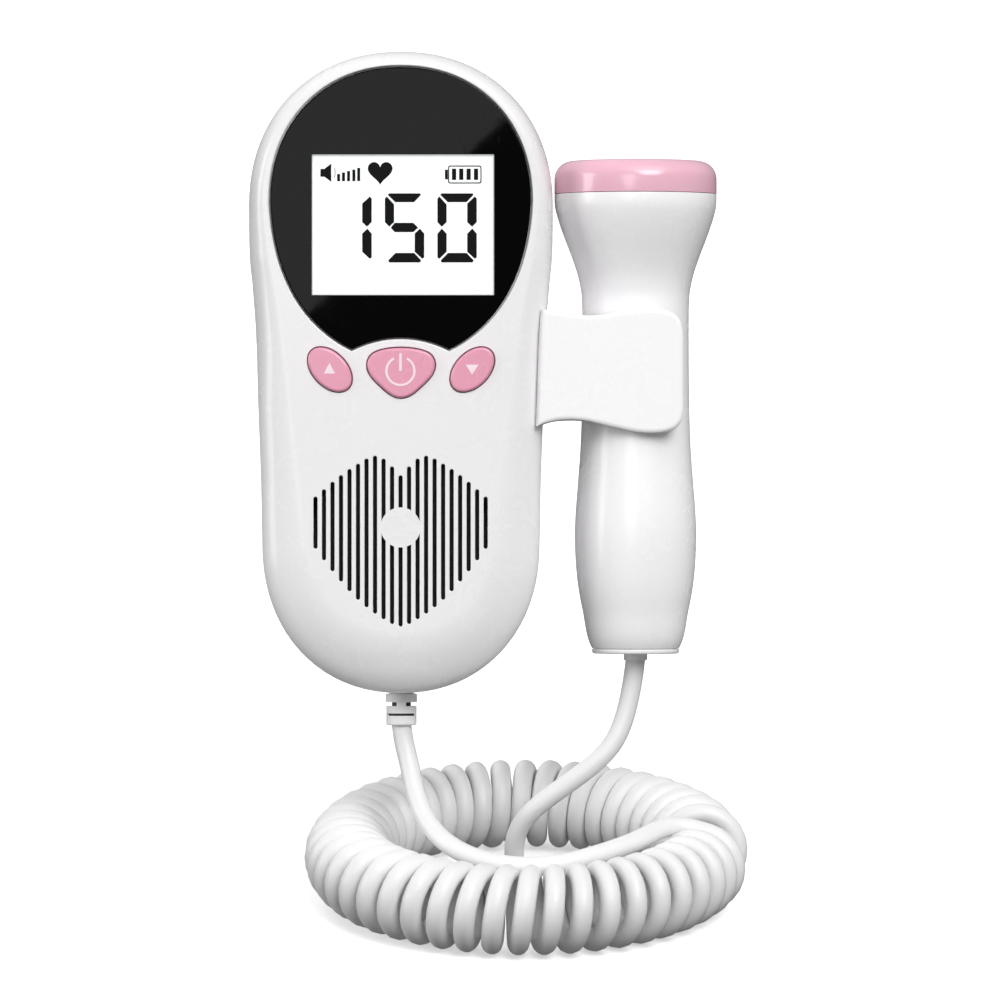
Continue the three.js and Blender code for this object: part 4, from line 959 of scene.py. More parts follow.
# Cord
def curl_point(turns):
    """A place on the helix that is wound along the ring, drawn out in its last curl"""
    drawn = max(turns - CURL_COUNT + STRETCHED_TURNS, 0) / STRETCHED_TURNS
    along = RING_START + CURL_PITCH * (turns + LAST_CURL_STRETCH * drawn ** 2)
    around = FIRST_CURL_START - math.tau * turns
    reach = RING_RADIUS + CURL_RADIUS * math.cos(around)
    return RING_CENTRE + Vector((reach * math.cos(along), -reach * math.sin(along), CURL_RADIUS * math.sin(around)))


def curl_heading(turns):
    """The direction in which the helix runs at a place"""
    return (curl_point(turns + 0.001) - curl_point(turns - 0.001)).normalized()


def curl_fullness(turns):
    """The cord's share of its own width, which the pull of the winding fills out on the ring's outer side"""
    return 1 + OUTER_FULLNESS * (1 + math.cos(FIRST_CURL_START - math.tau * turns)) / 2


def relaxed(route, passes):
    """A route whose bends are evened out between its two ends"""
    for _ in range(passes):
        route = [route[0], *((a + 2 * b + c) / 4 for a, b, c in zip(route, route[1:], route[2:])), route[-1]]
    return route


def cord_routes():
    """The routes of the unit's lead with the curls, and of the probe's lead"""
    to_level = LEVEL.inverted() @ DEVICE
    curls = [curl_point(turns) for turns in CURL_TURNS]
    arriving, leaving = -curl_heading(0), curl_heading(CURL_COUNT)
    finish = curls[-1] + leaving * CORD_DIAMETER
    lead = smooth([to_level @ UNIT_EXIT, *UNIT_LEAD, curls[0] + arriving * CORD_DIAMETER, curls[0]], LEAD_STEPS)
    far = smooth([to_level @ PROBE_EXIT, *PROBE_LEAD, finish + leaving * (CORD_DIAMETER + GAP), finish], LEAD_STEPS)
    return [*relaxed(lead, 8)[:-1], *curls, finish], relaxed(far, 4)


def cord_object(name, route, fullness=()):
    """A round cord along a route, as a curve"""
    curve = bpy.data.curves.new(name, "CURVE")
    curve.dimensions = "3D"
    curve.bevel_depth = CORD_DIAMETER / 2 * MM
    curve.bevel_resolution = 6
    curve.use_fill_caps = True
    spline = curve.splines.new("POLY")
    spline.points.add(len(route) - 1)
    for point, place in zip(spline.points, route):
        point.co = (*(LEVEL @ place), 1)
    for point, share in zip(spline.points, fullness):
        point.radius = share
    spline.use_smooth = True
    obj = linked(name, curve)
    obj.data.materials.append(finishes["cord"])
    return obj


class DOPPLER_OT_cords(bpy.types.Operator):
    """Winds the curly cord and lays its leads"""
    bl_idname = "doppler.cords"
    bl_label = "Cords"
    bl_options = {"REGISTER", "UNDO"}

    def execute(self, context):
        main_route, far_route = cord_routes()
        curls = [curl_fullness(turns) for turns in CURL_TURNS]
        lead_points = len(main_route) - len(curls) - 1
        near = [max(i - lead_points + FULLNESS_EASING, 0) for i in range(lead_points)]
        easing = [1 + (curls[0] - 1) * step / FULLNESS_EASING for step in near]
        curly = cord_object("coiled_cord", main_route, [*easing, *curls, curls[-1]])
        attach(curly, "hand_unit")
        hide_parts("unit_lead", "curly_cord")
        take(cord_object("probe_cord_lead", far_route))
        bpy.ops.object.convert(target="MESH")
        lead = take(outwards(named("probe_cord_lead"), 0.000001))
        bpy.ops.object.shade_smooth_by_angle(angle=math.radians(50))
        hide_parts("probe_lead")
        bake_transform(lead)
        return {"FINISHED"}


# Hand unit
def grille_cutter():
    """All the slots of the grille, with rounded mouths, and a plain disc left in their middle"""
    slots = []
    columns = len(HEART_TOP_SHARES) - 1
    for column in range(-columns, columns + 1):
        top = HEART_TOP - HEART_HEIGHT * HEART_TOP_SHARES[abs(column)]
        bottom = HEART_TOP - HEART_HEIGHT * HEART_BOTTOM_SHARES[abs(column)]
        loop = slot_loop(column * SLOT_PITCH, bottom, top)
        slots.append(opening("slot", loop, FRONT, INSIDE + PAST, SLOT_LIP, 3))
    cutter = gathered("slots", slots)
    disc = drum("disc", DISC_RADIUS, 0, DISC_HEIGHT, FRONT - 2, INSIDE + 2, 96)
    return shape_with(cutter, [disc])


def relief_hole():
    return spun("relief_hole", RELIEF_HOLE, 40, axis=(0, SEAM))


class DOPPLER_OT_front_housing(bpy.types.Operator):
    """Moulds the front with its openings and grille"""
    bl_idname = "doppler.front_housing"
    bl_label = "Front housing"
    bl_options = {"REGISTER", "UNDO"}

    def execute(self, context):
        outline = unit_outline()
        shell = loft("front_shell", *domed(outline, FRONT, SEAM, ROLL_DEPTH, 14))
        inner = loft("hollow", *domed(grown(outline, -WALL), INSIDE, SEAM + PAST, ROLL_DEPTH - 1, 5))
        shape_with(shell, [inner])
        (x, z), (half_width, half_height) = DISPLAY_MIDDLE, WINDOW_HALVES
        seat = opening("lens_seat", grown(lens_outline(), GAP), FRONT, SEAT, SEAT_LIP)
        window = block("window", x - half_width, x + half_width, FRONT - PAST, INSIDE + PAST,
                       z - half_height, z + half_height)
        cutters = [seat, window, grille_cutter(), relief_hole()]
        for loop, (x, z) in button_loops().values():
            hole = moved(grown(loop, BUTTON_GAP), x, z)
            cutters.append(opening("button_hole", hole, FRONT, INSIDE + PAST, BUTTON_GAP))
        shape_with(shell, cutters)
        put(shell, "front_shell", "hand_unit", "white_gloss", "white", "front_housing", **FLAT_FACED)
        return {"FINISHED"}


class DOPPLER_OT_rear_housing(bpy.types.Operator):
    """Moulds the back with its cell room and screw sinks"""
    bl_idname = "doppler.rear_housing"
    bl_label = "Rear housing"
    bl_options = {"REGISTER", "UNDO"}

    def execute(self, context):
        outline = unit_outline()
        width, depth = BACK_ROUND
        shell = plate("rear_shell", outline, SEAM + GAP, 0, back_round=BACK_ROUND, steps=12)
        inner = plate("hollow", grown(outline, -WALL), SEAM - PAST, -WALL, back_round=(width, depth - 1), steps=5)
        shape_with(shell, [inner])
        low, high = ROOM_ENDS
        side = ROOM_HALF + ROOM_WALL
        walls = block("walls", -side, side, ROOM_DEEPEST - ROOM_FLOOR, -1, low - ROOM_WALL, high + ROOM_WALL)
        bosses = [drum("boss", BOSS_RADIUS, x, z, SEAM + GAP, -1) for x, z in SCREW_PLACES]
        shape_with(shell, [walls, *bosses], "UNION")
        left, right, bottom, top = COVER_BOX
        seat = rounded_box(left - GAP, right + GAP, bottom - GAP, top + GAP, COVER_CORNER + GAP, 8)
        cutters = [
            block("room", -ROOM_HALF, ROOM_HALF, ROOM_DEEPEST, PAST, low, high),
            opening("cover_seat", seat, 0, -COVER_THICKNESS - GAP, SEAT_LIP),
            relief_hole(),
        ]
        for x, z in SCREW_PLACES:
            sink = oval((SINK_RADIUS, SINK_RADIUS), 0, (x, z), 32)
            cutters.append(opening("sink", sink, 0, SINK_FLOOR, 0.4))
            cutters.append(drum("shank", SHANK_RADIUS, x, z, SEAM - PAST, SINK_FLOOR + 1, 24))
        jack = drum("jack_hole", JACK_BARREL + GAP, 0, 0, -6, 6, 48)
        cutters.append(laid(jack, (-UPPER_HALF, *JACK_PLACE), 90))
        shape_with(shell, cutters)
        put(shell, "rear_shell", "hand_unit", "white_gloss", "white", "rear_housing", **FLAT_FACED)
        return {"FINISHED"}


class DOPPLER_OT_battery_cover(bpy.types.Operator):
    """Moulds the cover with its finger grip and the slits beside its latch"""
    bl_idname = "doppler.battery_cover"
    bl_label = "Battery cover"
    bl_options = {"REGISTER", "UNDO"}

    def execute(self, context):
        left, right, bottom, top = COVER_BOX
        panel = plate("cover_panel", rounded_box(left, right, bottom, top, COVER_CORNER, 8), -COVER_THICKNESS, 0,
                      (0.15, 0.15), (SEAT_LIP, SEAT_LIP), 4)
        across, up = GRIP_HALVES
        grip = rounded_box(-across, across, GRIP_MIDDLE - up, GRIP_MIDDLE + up, GRIP_CORNER, 8)
        shape_with(panel, [opening("grip", grip, 0, GRIP_FLOOR, SEAT_LIP)])
        ribs = []
        for i, half in enumerate(RIB_HALVES):
            z = GRIP_MIDDLE + 2 * up * ((i + 0.5) / len(RIB_HALVES) - 0.5)
            loop = rounded_box(-half, half, z - RIB_HEIGHT / 2, z + RIB_HEIGHT / 2, 0.4, 4)
            ribs.append(plate("rib", loop, -1, -0.2, back_round=(0.3, 0.3), steps=3))
        shape_with(panel, ribs, "UNION")
        place, half, length = LATCH_SLIT
        slits = []
        for x in (-place, place):
            loop = rounded_box(x - half, x + half, top - length, top + 2, 0.3, 4)
            slits.append(opening("slit", loop, 0, -3, 0.15, 3))
        shape_with(panel, slits)
        put(panel, "cover_panel", "battery_cover", "white_gloss", "white", "battery_cover", **FLAT_FACED)
        return {"FINISHED"}


class DOPPLER_OT_grille_cloth(bpy.types.Operator):
    """Lays the cloth behind the slots, whose near-black is partly painted shade"""
    bl_idname = "doppler.grille_cloth"
    bl_label = "Grille cloth"
    bl_options = {"REGISTER", "UNDO"}

    def execute(self, context):
        cloth = drum("grille_cloth", CLOTH_RADIUS, 0, CLOTH_HEIGHT, *CLOTH_DEPTHS, 64, 0.05)
        put(cloth, "grille_cloth", "hand_unit", "dark_plastic", "cloth")
        return {"FINISHED"}


# Screen: digits of seven segments on one grid, signs on another
CELL_SCALE = 0.02106
CELL_PITCH = 523
FIRST_CELL = (-14.18, 37.33)
SEGMENT_BOLDER = 0.12
SEGMENTS = {
    "top": [(30, 8), (38, 0), (340, 0), (347, 8), (282, 76), (100, 76)],
    "upper_right": [(367, 33), (380, 48), (380, 278), (339, 318), (297, 278), (297, 98)],
    "lower_right": [(342, 353), (380, 398), (380, 628), (367, 638), (297, 573), (297, 398)],
    "bottom": [(34, 663), (40, 676), (340, 676), (349, 663), (282, 593), (102, 593)],
    "lower_left": [(0, 398), (38, 353), (80, 398), (80, 573), (13, 638), (0, 628)],
    "upper_left": [(13, 33), (0, 48), (0, 278), (38, 318), (80, 278), (80, 108)],
    "middle": [(60, 336), (95, 293), (275, 293), (317, 336), (275, 374), (95, 374)],
}
LIT = {
    "0": "top upper_right lower_right bottom lower_left upper_left",
    "1": "upper_right lower_right",
    "2": "top upper_right middle lower_left bottom",
    "3": "top upper_right middle lower_right bottom",
    "4": "upper_left middle upper_right lower_right",
    "5": "top upper_left middle lower_right bottom",
    "6": "top upper_left middle lower_left lower_right bottom",
    "7": "top upper_right lower_right",
    "8": "top upper_right lower_right bottom lower_left upper_left middle",
    "9": "top upper_right lower_right bottom upper_left middle",
}
SIGN_SCALE = 0.044323
SIGN_ORIGIN = (-33.9066, 71.88)
SPEAKER = [(386, 661), (405, 661), (437, 635), (437, 722), (405, 698), (386, 698)]
SOUND_ARC = (452, 679, 5, 24, 3)
SOUND_BARS = [(472, 685), (495, 678), (519, 671), (544, 664), (567, 656)]
SOUND_BAR_HALF = 7
SOUND_BAR_FOOT = 719
HEART_MIDDLE = (668.5, 674)
HEART_SCALES = (3.66, 3.8)
BATTERY_OUTSIDE = (990, 1148, 645, 730, 10)
BATTERY_INSIDE = (995, 1143, 650, 725, 7)
BATTERY_TIP = [(975, 665), (989, 665), (989, 710), (975, 710)]
CHARGE_BARS = (1122, 1087, 1052, 1018)
CHARGE_BAR_HALF = 10
CHARGE_BAR_ENDS = (713, 660)
PRINT_FRONT = GLASS_FRONT - 0.06
PRINT_BACK = GLASS_FRONT + 0.05


def signed(points):
    """Places on the display, from the sign drawing's own grid"""
    return [(SIGN_ORIGIN[0] + SIGN_SCALE * x, SIGN_ORIGIN[1] - SIGN_SCALE * z) for x, z in points]


def upright(x, half, foot, head):
    """A bar on the sign drawing's grid"""
    return signed([(x - half, foot), (x - half, head), (x + half, head), (x + half, foot)])


def printed(name, loop, bolder=0.0):
    """A flat print of an outline, drawn bolder all round by a distance"""
    turning = sum(a[0] * b[1] - b[0] * a[1] for a, b in zip(loop, [*loop[1:], loop[0]]))
    loop = grown(loop, math.copysign(bolder, turning)) if bolder else loop
    return prism(name, loop, PRINT_FRONT, PRINT_BACK)


def digit_parts(reading):
    """The lit segments of the reading, which stands to the right of its three places"""
    parts = []
    for place, digit in enumerate(f"{reading:3d}"):
        left = FIRST_CELL[0] + CELL_PITCH * CELL_SCALE * place
        for segment in LIT.get(digit, "").split():
            corners = [(left + CELL_SCALE * x, FIRST_CELL[1] - CELL_SCALE * z) for x, z in SEGMENTS[segment]]
            parts.append(printed("segment", corners, SEGMENT_BOLDER))
    return parts


def heart_loop():
    """The outline of a heart, drawn round from its notch"""
    (x, z), (wide, tall) = HEART_MIDDLE, HEART_SCALES
    loop = []
    for i in range(64):
        turn = math.tau * i / 64
        rise = 13 * math.cos(turn) - 5 * math.cos(2 * turn) - 2 * math.cos(3 * turn) - math.cos(4 * turn)
        loop.append((x + wide * 16 * math.sin(turn) ** 3, z - tall * rise))
    return loop


def sign_parts(sound_bars, charge_bars):
    """The loudspeaker with its bars, the heart and the battery with its bars"""
    x, z, wide, tall, thick = SOUND_ARC
    arc = [(x + wide * math.cos(a), z + tall * math.sin(a)) for a in (math.pi * (i / 8 - 0.5) for i in range(9))]
    back = [(x - thick, z) for x, z in reversed(arc)]
    parts = [printed("speaker_sign", signed(SPEAKER)), printed("sound_arc", signed([*arc, *back]))]
    for x, head in SOUND_BARS[:sound_bars]:
        parts.append(printed("sound_bar", upright(x, SOUND_BAR_HALF, SOUND_BAR_FOOT, head)))
    parts.append(printed("heart_sign", signed(heart_loop())))
    ring = printed("battery_frame", signed(rounded_box(*BATTERY_OUTSIDE)))
    inside = prism("inside", signed(rounded_box(*BATTERY_INSIDE)), PRINT_FRONT - 1, GLASS_FRONT + 1)
    parts += [shape_with(ring, [inside]), printed("battery_tip", signed(BATTERY_TIP))]
    for x in CHARGE_BARS[:charge_bars]:
        parts.append(printed("charge_bar", upright(x, CHARGE_BAR_HALF, *CHARGE_BAR_ENDS)))
    return parts


def display_box(margin):
    """Left, right, bottom and top of the display, with a margin all round"""
    (x, z), (width, height) = DISPLAY_MIDDLE, DISPLAY_SIZE
    return x - width / 2 - margin, x + width / 2 + margin, z - height / 2 - margin, z + height / 2 + margin


class DOPPLER_OT_screen(bpy.types.Operator):
    """Sets the lens, the display and what it shows"""
    bl_idname = "doppler.screen"
    bl_label = "Screen"
    bl_options = {"REGISTER", "UNDO"}

    def execute(self, context):
        settings = context.scene.doppler_screen
        lens = plate("lens_pane", lens_outline(), LENS_FRONT, LENS_BACK, LENS_ROUND, steps=4)
        opened = rounded_box(*display_box(0), DISPLAY_LIP, 4)
        shape_with(lens, [opening("window", opened, LENS_FRONT, LENS_BACK + PAST, DISPLAY_LIP, 3)])
        put(lens, "lens_pane", "hand_unit", "black_gloss", "black", "screen_lens", **FLAT_FACED)
        left, right, bottom, top = display_box(DISPLAY_MARGIN)
        body = block("display", left, right, INSIDE + GAP, MODULE_BACK, bottom, top)
        pane = rounded_box(*display_box(-DISPLAY_LIP), 0.1, 4)
        shape_with(body, [plate("glass", pane, GLASS_FRONT, INSIDE + PAST, (0.05, 0.05), steps=2)], "UNION")
        put(body, "display_panel", "hand_unit", "display", "display", "lcd_module", **FLAT_FACED)
        for name, parts in (
            ("display_reading", digit_parts(settings.reading)),
            ("display_signs", sign_parts(settings.sound_bars, settings.charge_bars)),
        ):
            put(gathered(name, parts), name, "hand_unit", "black_gloss", "ink")
        return {"FINISHED"}


# Buttons
class DOPPLER_OT_buttons(bpy.types.Operator):
    """Moulds the three push buttons and prints their signs"""
    bl_idname = "doppler.buttons"
    bl_label = "Buttons"
    bl_options = {"REGISTER", "UNDO"}

    def execute(self, context):
        for name, (loop, (x, z)) in button_loops().items():
            cap = plate("cap", moved(loop, x, z), BUTTON_FRONT, BUTTON_BACK, BUTTON_ROUND, steps=6)
            width, thickness = FLANGE
            flange = plate("flange", moved(grown(loop, width), x, z), INSIDE + GAP, INSIDE + GAP + thickness)
            radius, length = STEM
            stem = drum("stem", radius, x, z, BUTTON_BACK, INSIDE + GAP + length, 24)
            shape_with(cap, [flange, stem], "UNION")
            button = f"{name}_button"
            put(cap, f"{name}_cap", button, "pink_gloss", "pink", button, **FLAT_FACED)
        outer, inner = [oval((radius, radius), 0, POWER_SIGN_MIDDLE) for radius in POWER_SIGN_RADII]
        ring = prism("ring", outer, SIGN_FRONT, SIGN_BACK)
        shape_with(ring, [
            prism(name, loop, SIGN_FRONT - 1, BUTTON_FRONT + 1)
            for name, loop in (("inside", inner), ("open_top", POWER_SIGN_OPENING))
        ])
        bar = prism("bar", rounded_box(*POWER_SIGN_BAR), SIGN_FRONT, SIGN_BACK)
        put(gathered("power_sign", [ring, bar]), "power_sign", "power_button", "white_gloss", "sign")
        for name, corners in ARROWS.items():
            arrow = prism("arrow", corners, SIGN_FRONT, SIGN_BACK)
            put(arrow, f"{name}_sign", f"{name}_button", "white_gloss", "sign")
        return {"FINISHED"}


# Clip and probe
class DOPPLER_OT_clip(bpy.types.Operator):
    """Moulds the clip that holds the probe: two arms and a saddle, trimmed to the unit's side"""
    bl_idname = "doppler.clip"
    bl_label = "Probe clip"
    bl_options = {"REGISTER", "UNDO"}

    def execute(self, context):
        loop = clip_loop()
        front_arm, back_arm = [
            plate("arm", loop, *depths, *rounds, steps=5) for depths, rounds in zip(CLIP_ARMS, CLIP_ROUNDS)
        ]
        (front, between), (behind, _) = CLIP_ARMS
        saddle = block("saddle", CLIP_ROOT - CLIP_OVERLAP, PROBE_AXIS[0], between - CLIP_BITE, behind + CLIP_BITE,
                       -20, 20)
        hollow = spun("hollow", [(0, -30), (CLIP_INNER_RADIUS, -30), (CLIP_INNER_RADIUS, 30), (0, 30)], 96,
                      axis=PROBE_AXIS)
        shape_with(saddle, [hollow])
        shape_with(saddle, [prism("profile", grown(loop, -0.03), -40, 10)], "INTERSECT")
        clip = shape_with(front_arm, [saddle, back_arm], "UNION")
        outline = grown(unit_outline(), GAP)
        loops, depths = domed(outline, FRONT - GAP, SEAM, ROLL_DEPTH, 8)
        back_loops, back_depths = rolled(outline, SEAM, GAP, back_round=BACK_ROUND)
        unit = loft("unit", loops[:-1] + back_loops, depths[:-1] + back_depths)
        width, depth = CLIP_EDGE
        trims = [grown(outline, -GAP - width * math.sin(turn)) for turn in quarter(6)]
        steps = [front + depth * (1 - math.cos(turn)) for turn in quarter(6)]
        edge = loft("edge", [trims[0], *trims, trims[-1]], [-40, *steps, FRONT + CLIP_STEP])
        shape_with(clip, [unit, edge])
        put(clip, "clip_arms", "hand_unit", "white_gloss", "probe_white", "probe_clip", **FLAT_FACED)
        return {"FINISHED"}


class DOPPLER_OT_probe(bpy.types.Operator):
    """Turns the probe's body, cap and end"""
    bl_idname = "doppler.probe"
    bl_label = "Probe"
    bl_options = {"REGISTER", "UNDO"}

    def execute(self, context):
        outside = [tuple(p) for p in smooth(probe_profile(), 5)]
        inside = [(radius - PROBE_WALL, height) for radius, height in outside[::4]]
        first, last = outside[0], outside[-1]
        body = eased([
            (*first, SEAM_EDGE), *outside[3:-3], (*last, SEAM_EDGE), (END_RADIUS - PROBE_WALL, last[1]),
            *inside[::-1][1:],
        ])
        handle = spun("handle", body, 96, True, PROBE_AXIS)
        put(handle, "probe_body", "probe", "white_gloss", "probe_white", "probe_handle")
        outer = [
            (HEAD_RADIUS - CAP_CORNER * (1 - math.cos(a)), PROBE_TOP - CAP_CORNER * (1 - math.sin(a)))
            for a in quarter(10)
        ]
        inner = [(max(radius - PROBE_WALL, 0), height - PROBE_WALL) for radius, height in outer]
        cap = eased([
            (0, PROBE_TOP - PROBE_WALL), *inner[::-1], (HEAD_RADIUS - PROBE_WALL, CAP_SEAM),
            (HEAD_RADIUS, CAP_SEAM, SEAM_EDGE), *outer, (0, PROBE_TOP),
        ])
        head = spun("head", cap, 96, axis=PROBE_AXIS)
        put(head, "probe_cap", "probe", "clear_pink", "clear_pink", "probe_head_cap")
        top = PROBE_BOTTOM + END_SEAM - HAIRLINE
        plug = END_RADIUS - PROBE_WALL - GAP
        end = eased([
            (END_HOLE, PROBE_BOTTOM, 0.2), (END_RADIUS, PROBE_BOTTOM, 0.55), (END_RADIUS, top, SEAM_EDGE),
            (plug, top), (plug, top + PLUG_HEIGHT), (plug - PROBE_WALL, top + PLUG_HEIGHT),
            (plug - PROBE_WALL, top), (END_HOLE, top),
        ])
        foot = spun("foot", end, 96, True, PROBE_AXIS)
        put(foot, "probe_end", "probe", "white_gloss", "probe_white", "probe_end_cap")
        return {"FINISHED"}


# Small pieces
class DOPPLER_OT_reliefs(bpy.types.Operator):
    """Moulds the soft reliefs of the cord, the unit's with two slots down to a near-black core, which is painted shade
    in the slots
    """
    bl_idname = "doppler.reliefs"
    bl_label = "Strain reliefs"
    bl_options = {"REGISTER", "UNDO"}

    def execute(self, context):
        axis = (0, SEAM)
        relief = spun("relief", eased(UNIT_RELIEF), 64, axis=axis)
        grooves = []
        across, along = BRIDGE_HALVES
        small, large = GROOVE_RADII
        for level, half, turned_by in GROOVES:
            low, high = level - half, level + half
            ring = spun("groove", [(small, low), (large, low), (large, high), (small, high)], 50, True, axis)
            bridge = block("bridge", -across, across, -along, along, level - 1, level + 1)
            grooves.append(shape_with(ring, [laid(bridge, (*axis, 0), turned_by)]))
        shape_with(relief, grooves)
        put(relief, "unit_relief", "hand_unit", "pale_rubber", "rubber", "unit_strain_relief", weighted=True)
        # The dark core is painted shade seen through the slots
        core = spun("core", RELIEF_SHADE_CORE, 48, axis=axis)
        put(core, "relief_core", "hand_unit", "dark_plastic", "dark")
        gland = spun("gland", eased(PROBE_RELIEF), 64, axis=PROBE_AXIS)
        put(gland, "probe_relief", "probe", "pale_rubber", "rubber", "probe_strain_relief")
        return {"FINISHED"}


class DOPPLER_OT_screws(bpy.types.Operator):
    """Sets the screws in the back, pan heads with a cross recess, each turned a little further"""
    bl_idname = "doppler.screws"
    bl_label = "Screws"
    bl_options = {"REGISTER", "UNDO"}

    def execute(self, context):
        for i, (x, z) in enumerate(SCREW_PLACES):
            screw = spun("screw", eased(SCREW), 40)
            for turned_by in CROSS_TURNS:
                wing = laid(block("wing", *CROSS_WING), (0, 0, 0), turned_by + CROSS_STEP * i)
                shape_with(screw, [wing])
            laid(screw, (x, 0, z), -90, "X")
            put(screw, f"back_screw_{i + 1}", "hand_unit", "steel", "steel", f"housing_screw_{i + 1}")
        return {"FINISHED"}


class DOPPLER_OT_jack(bpy.types.Operator):
    """Sets the headphone jack in the side"""
    bl_idname = "doppler.jack"
    bl_label = "Headphone jack"
    bl_options = {"REGISTER", "UNDO"}

    def execute(self, context):
        depth, height = JACK_PLACE
        rim = eased([(JACK_BORE, 0.3, 0.3), (JACK_BARREL, 0.3, 0.3), (JACK_BARREL, 3.2), (JACK_BORE, 3.2)])
        barrel = laid(spun("barrel", rim, 48, True), (JACK_RIM, depth, height), 90, "Y")
        left, right, half = JACK_BODY
        body = block("jack_body", left, right, depth - half, depth + half, height - half, height + half)
        bore = laid(drum("bore", JACK_BORE, 0, 0, -20, 20, 48), (-UPPER_HALF, depth, height), 90)
        shape_with(barrel, [body], "UNION")
        shape_with(barrel, [bore])
        put(barrel, "jack_socket", "hand_unit", "dark_plastic", "dark", "headphone_jack")
        return {"FINISHED"}


class DOPPLER_OT_cells(bpy.types.Operator):
    """Lays the two cells in their room, one of them upside down"""
    bl_idname = "doppler.cells"
    bl_label = "Cells"
    bl_options = {"REGISTER", "UNDO"}

    def execute(self, context):
        across, depth = CELL_PLACE
        for name, x, rise, turned_by in (
            ("left", -across, 0, 0),
            ("right", across, 2 * CELL_LOW + CELL_LENGTH, 180),
        ):
            cell = laid(spun("cell", eased(CELL), 64), (x, depth, rise), turned_by, "X")
            put(cell, f"cell_{name}", "hand_unit", "cell_wrap", "wrap", f"battery_cell_{name}")
        return {"FINISHED"}


class DOPPLER_OT_inside(bpy.types.Operator):
    """Finishes the boards, switches and contacts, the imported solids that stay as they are"""
    bl_idname = "doppler.inside"
    bl_label = "Inside"
    bl_options = {"REGISTER", "UNDO"}

    def execute(self, context):
        kept = {
            "board": "main_board probe_board",
            "dark": "power_switch volume_up_switch volume_down_switch loudspeaker",
            "steel": "battery_bridge_contact battery_positive_contact battery_negative_contact "
                     "clip_screw_1 clip_screw_2",
            "crystal": "transmit_crystal receive_crystal",
            "carrier": "crystal_carrier",
        }
        for finish, names in kept.items():
            for name in names.split():
                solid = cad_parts[name].data
                solid.materials.clear()
                solid.materials.append(finishes[finish])
        return {"FINISHED"}


# Studio, in metres
VIEW_TARGET = Vector((20.85, -24, -26.85))
SENSOR = 36.0
FRAME_WIDTH = 210.6
LIGHT_TARGET = (0, 0, -0.05)
LIGHTS = {
    "key": ((1.2, -1.9, 3.6), 3.4),
    "front": ((0.97, -2.08, 1.93), 1.4),
    "fill": ((-1.5, -0.3, 0.3), 0.8),
    "back": ((-1.0, 2.4, 1.0), 1.6),
}
CARD_SIZE = 0.6
CARD_EDGE = 0.112
FLOOR_SIZE = 12
FLOOR_GLOW = 0.45
HORIZON = 0.15


def soft_light(name, place, target, size, power):
    data = bpy.data.lights.new(name, "AREA")
    data.shape, data.size, data.energy = "SQUARE", size, power
    obj = linked(name, data)
    obj.location = place
    obj.rotation_euler = (Vector(target) - Vector(place)).to_track_quat("-Z", "Y").to_euler()
    return obj


def floor_finish():
    """A pale floor with a glow of its own, so that it stays white under the soft light"""
    made = bpy.data.materials.new("pale_floor")
    made.use_nodes = True
    tree = made.node_tree
    shader = tree.nodes["Principled BSDF"]
    noise = node(tree, "TexNoise", Vector=object_place(tree), Scale=3.0, Detail=2.0)
    feed(tree, shader.inputs["Base Color"], grey(tree, scaled(tree, noise.outputs["Fac"], 0.89, 0.9)))
    shader.inputs["Roughness"].default_value = 0.85
    shader.inputs["Specular IOR Level"].default_value = 0.2
    shader.inputs["Emission Color"].default_value = (1, 1, 1, 1)
    shader.inputs["Emission Strength"].default_value = FLOOR_GLOW
    return made


class DOPPLER_OT_stage(bpy.types.Operator):
    """Sets up the camera, the floor and the lights"""
    bl_idname = "doppler.stage"
    bl_label = "Studio"
    bl_options = {"REGISTER", "UNDO"}

    def execute(self, context):
        scene, settings = context.scene, context.scene.doppler_studio
        data = bpy.data.cameras.new("front_view")
        data.lens, data.sensor_width, data.clip_end = settings.focal_length, SENSOR, 50
        camera = linked("front_view", data)
        distance = settings.focal_length / SENSOR * FRAME_WIDTH * MM
        facing = (DEVICE.to_3x3() @ Vector((0, -1, 0))).normalized()
        camera.location = DEVICE @ VIEW_TARGET + facing * distance
        camera.rotation_euler = (-facing).to_track_quat("-Z", "Y").to_euler()
        scene.camera = camera
        bpy.ops.object.select_all(action="DESELECT")
        bpy.ops.mesh.primitive_plane_add(size=FLOOR_SIZE)
        floor = named("floor")
        floor.data.transform(Matrix.Translation((0, 0, cad_box[0].z - 0.0002)))
        floor.data.materials.append(floor_finish())
        floor.visible_diffuse = floor.visible_glossy = False
        scene.view_settings.view_transform = "Standard"
        world = bpy.data.worlds.new("room")
        scene.world = world
        world.use_nodes = True
        tree = world.node_tree
        height = node(tree, "SeparateXYZ", Vector=node(tree, "TexCoord").outputs["Generated"])
        tone = scaled(tree, height.outputs["Z"], settings.room_below, 1.0, -HORIZON, HORIZON)
        background = tree.nodes["Background"]
        feed(tree, background.inputs["Color"], grey(tree, tone))
        background.inputs["Strength"].default_value = settings.room
        for name, (place, size) in LIGHTS.items():
            lamp = soft_light(f"{name}_light", place, LIGHT_TARGET, size, getattr(settings, f"{name}_power"))
            lamp.visible_glossy = name != "back"
        card = soft_light("card", (0, 0, 0), (0, 0, -1), CARD_SIZE, settings.card_power)
        card.visible_diffuse = False
        turned = camera.matrix_basis.to_3x3()
        across = turned @ Vector((-1, 1, 0)).normalized()
        card.matrix_basis = (
            Matrix.Translation(camera.location + across * (CARD_EDGE + CARD_SIZE / 2))
            @ turned.to_4x4() @ Matrix.Rotation(math.radians(45), 4, "Z")
        )
        return {"FINISHED"}


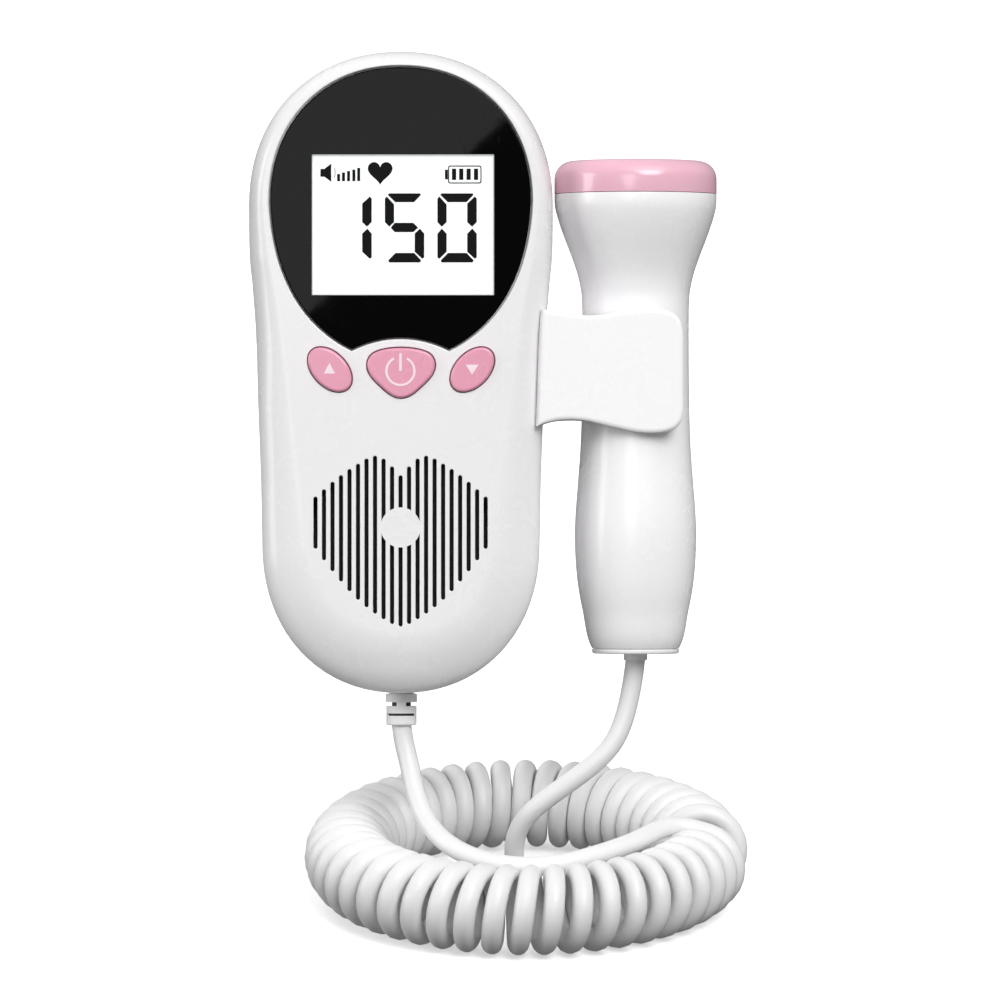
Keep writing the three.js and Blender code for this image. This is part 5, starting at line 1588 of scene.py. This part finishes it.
# Add-on
OPERATORS = [
    DOPPLER_OT_stage, DOPPLER_OT_finishes, DOPPLER_OT_cords, DOPPLER_OT_front_housing, DOPPLER_OT_rear_housing,
    DOPPLER_OT_battery_cover, DOPPLER_OT_screen, DOPPLER_OT_buttons, DOPPLER_OT_grille_cloth, DOPPLER_OT_clip,
    DOPPLER_OT_probe, DOPPLER_OT_reliefs, DOPPLER_OT_screws, DOPPLER_OT_jack, DOPPLER_OT_cells,
    DOPPLER_OT_inside,
]


class DOPPLER_PT_panel(bpy.types.Panel):
    """Lists the steps that make the monitor, and the settings"""
    bl_label = "Fetal Doppler Monitor"
    bl_idname = "DOPPLER_PT_panel"
    bl_space_type = "VIEW_3D"
    bl_region_type = "UI"
    bl_category = "Doppler"

    def draw(self, context):
        for made in OPERATORS:
            self.layout.operator(made.bl_idname)
        scene = context.scene
        for group in (scene.doppler_finish, scene.doppler_screen, scene.doppler_studio):
            for key in group.bl_rna.properties.keys():
                if key not in ("rna_type", "name"):
                    self.layout.prop(group, key)


CLASSES = [FinishSettings, ScreenSettings, StudioSettings, *OPERATORS, DOPPLER_PT_panel]


def register():
    for made in CLASSES:
        bpy.utils.register_class(made)
    bpy.types.Scene.doppler_finish = PointerProperty(type=FinishSettings)
    bpy.types.Scene.doppler_screen = PointerProperty(type=ScreenSettings)
    bpy.types.Scene.doppler_studio = PointerProperty(type=StudioSettings)


def unregister():
    for made in reversed(CLASSES):
        bpy.utils.unregister_class(made)
    del bpy.types.Scene.doppler_finish, bpy.types.Scene.doppler_screen, bpy.types.Scene.doppler_studio


def main():
    register()
    bpy.ops.doppler.stage()
    bpy.ops.doppler.finishes()
    bpy.ops.doppler.cords()
    bpy.ops.doppler.front_housing()
    bpy.ops.doppler.rear_housing()
    bpy.ops.doppler.battery_cover()
    bpy.ops.doppler.screen()
    bpy.ops.doppler.buttons()
    bpy.ops.doppler.grille_cloth()
    bpy.ops.doppler.clip()
    bpy.ops.doppler.probe()
    bpy.ops.doppler.reliefs()
    bpy.ops.doppler.screws()
    bpy.ops.doppler.jack()
    bpy.ops.doppler.cells()
    bpy.ops.doppler.inside()


if __name__ == "__main__":
    main()
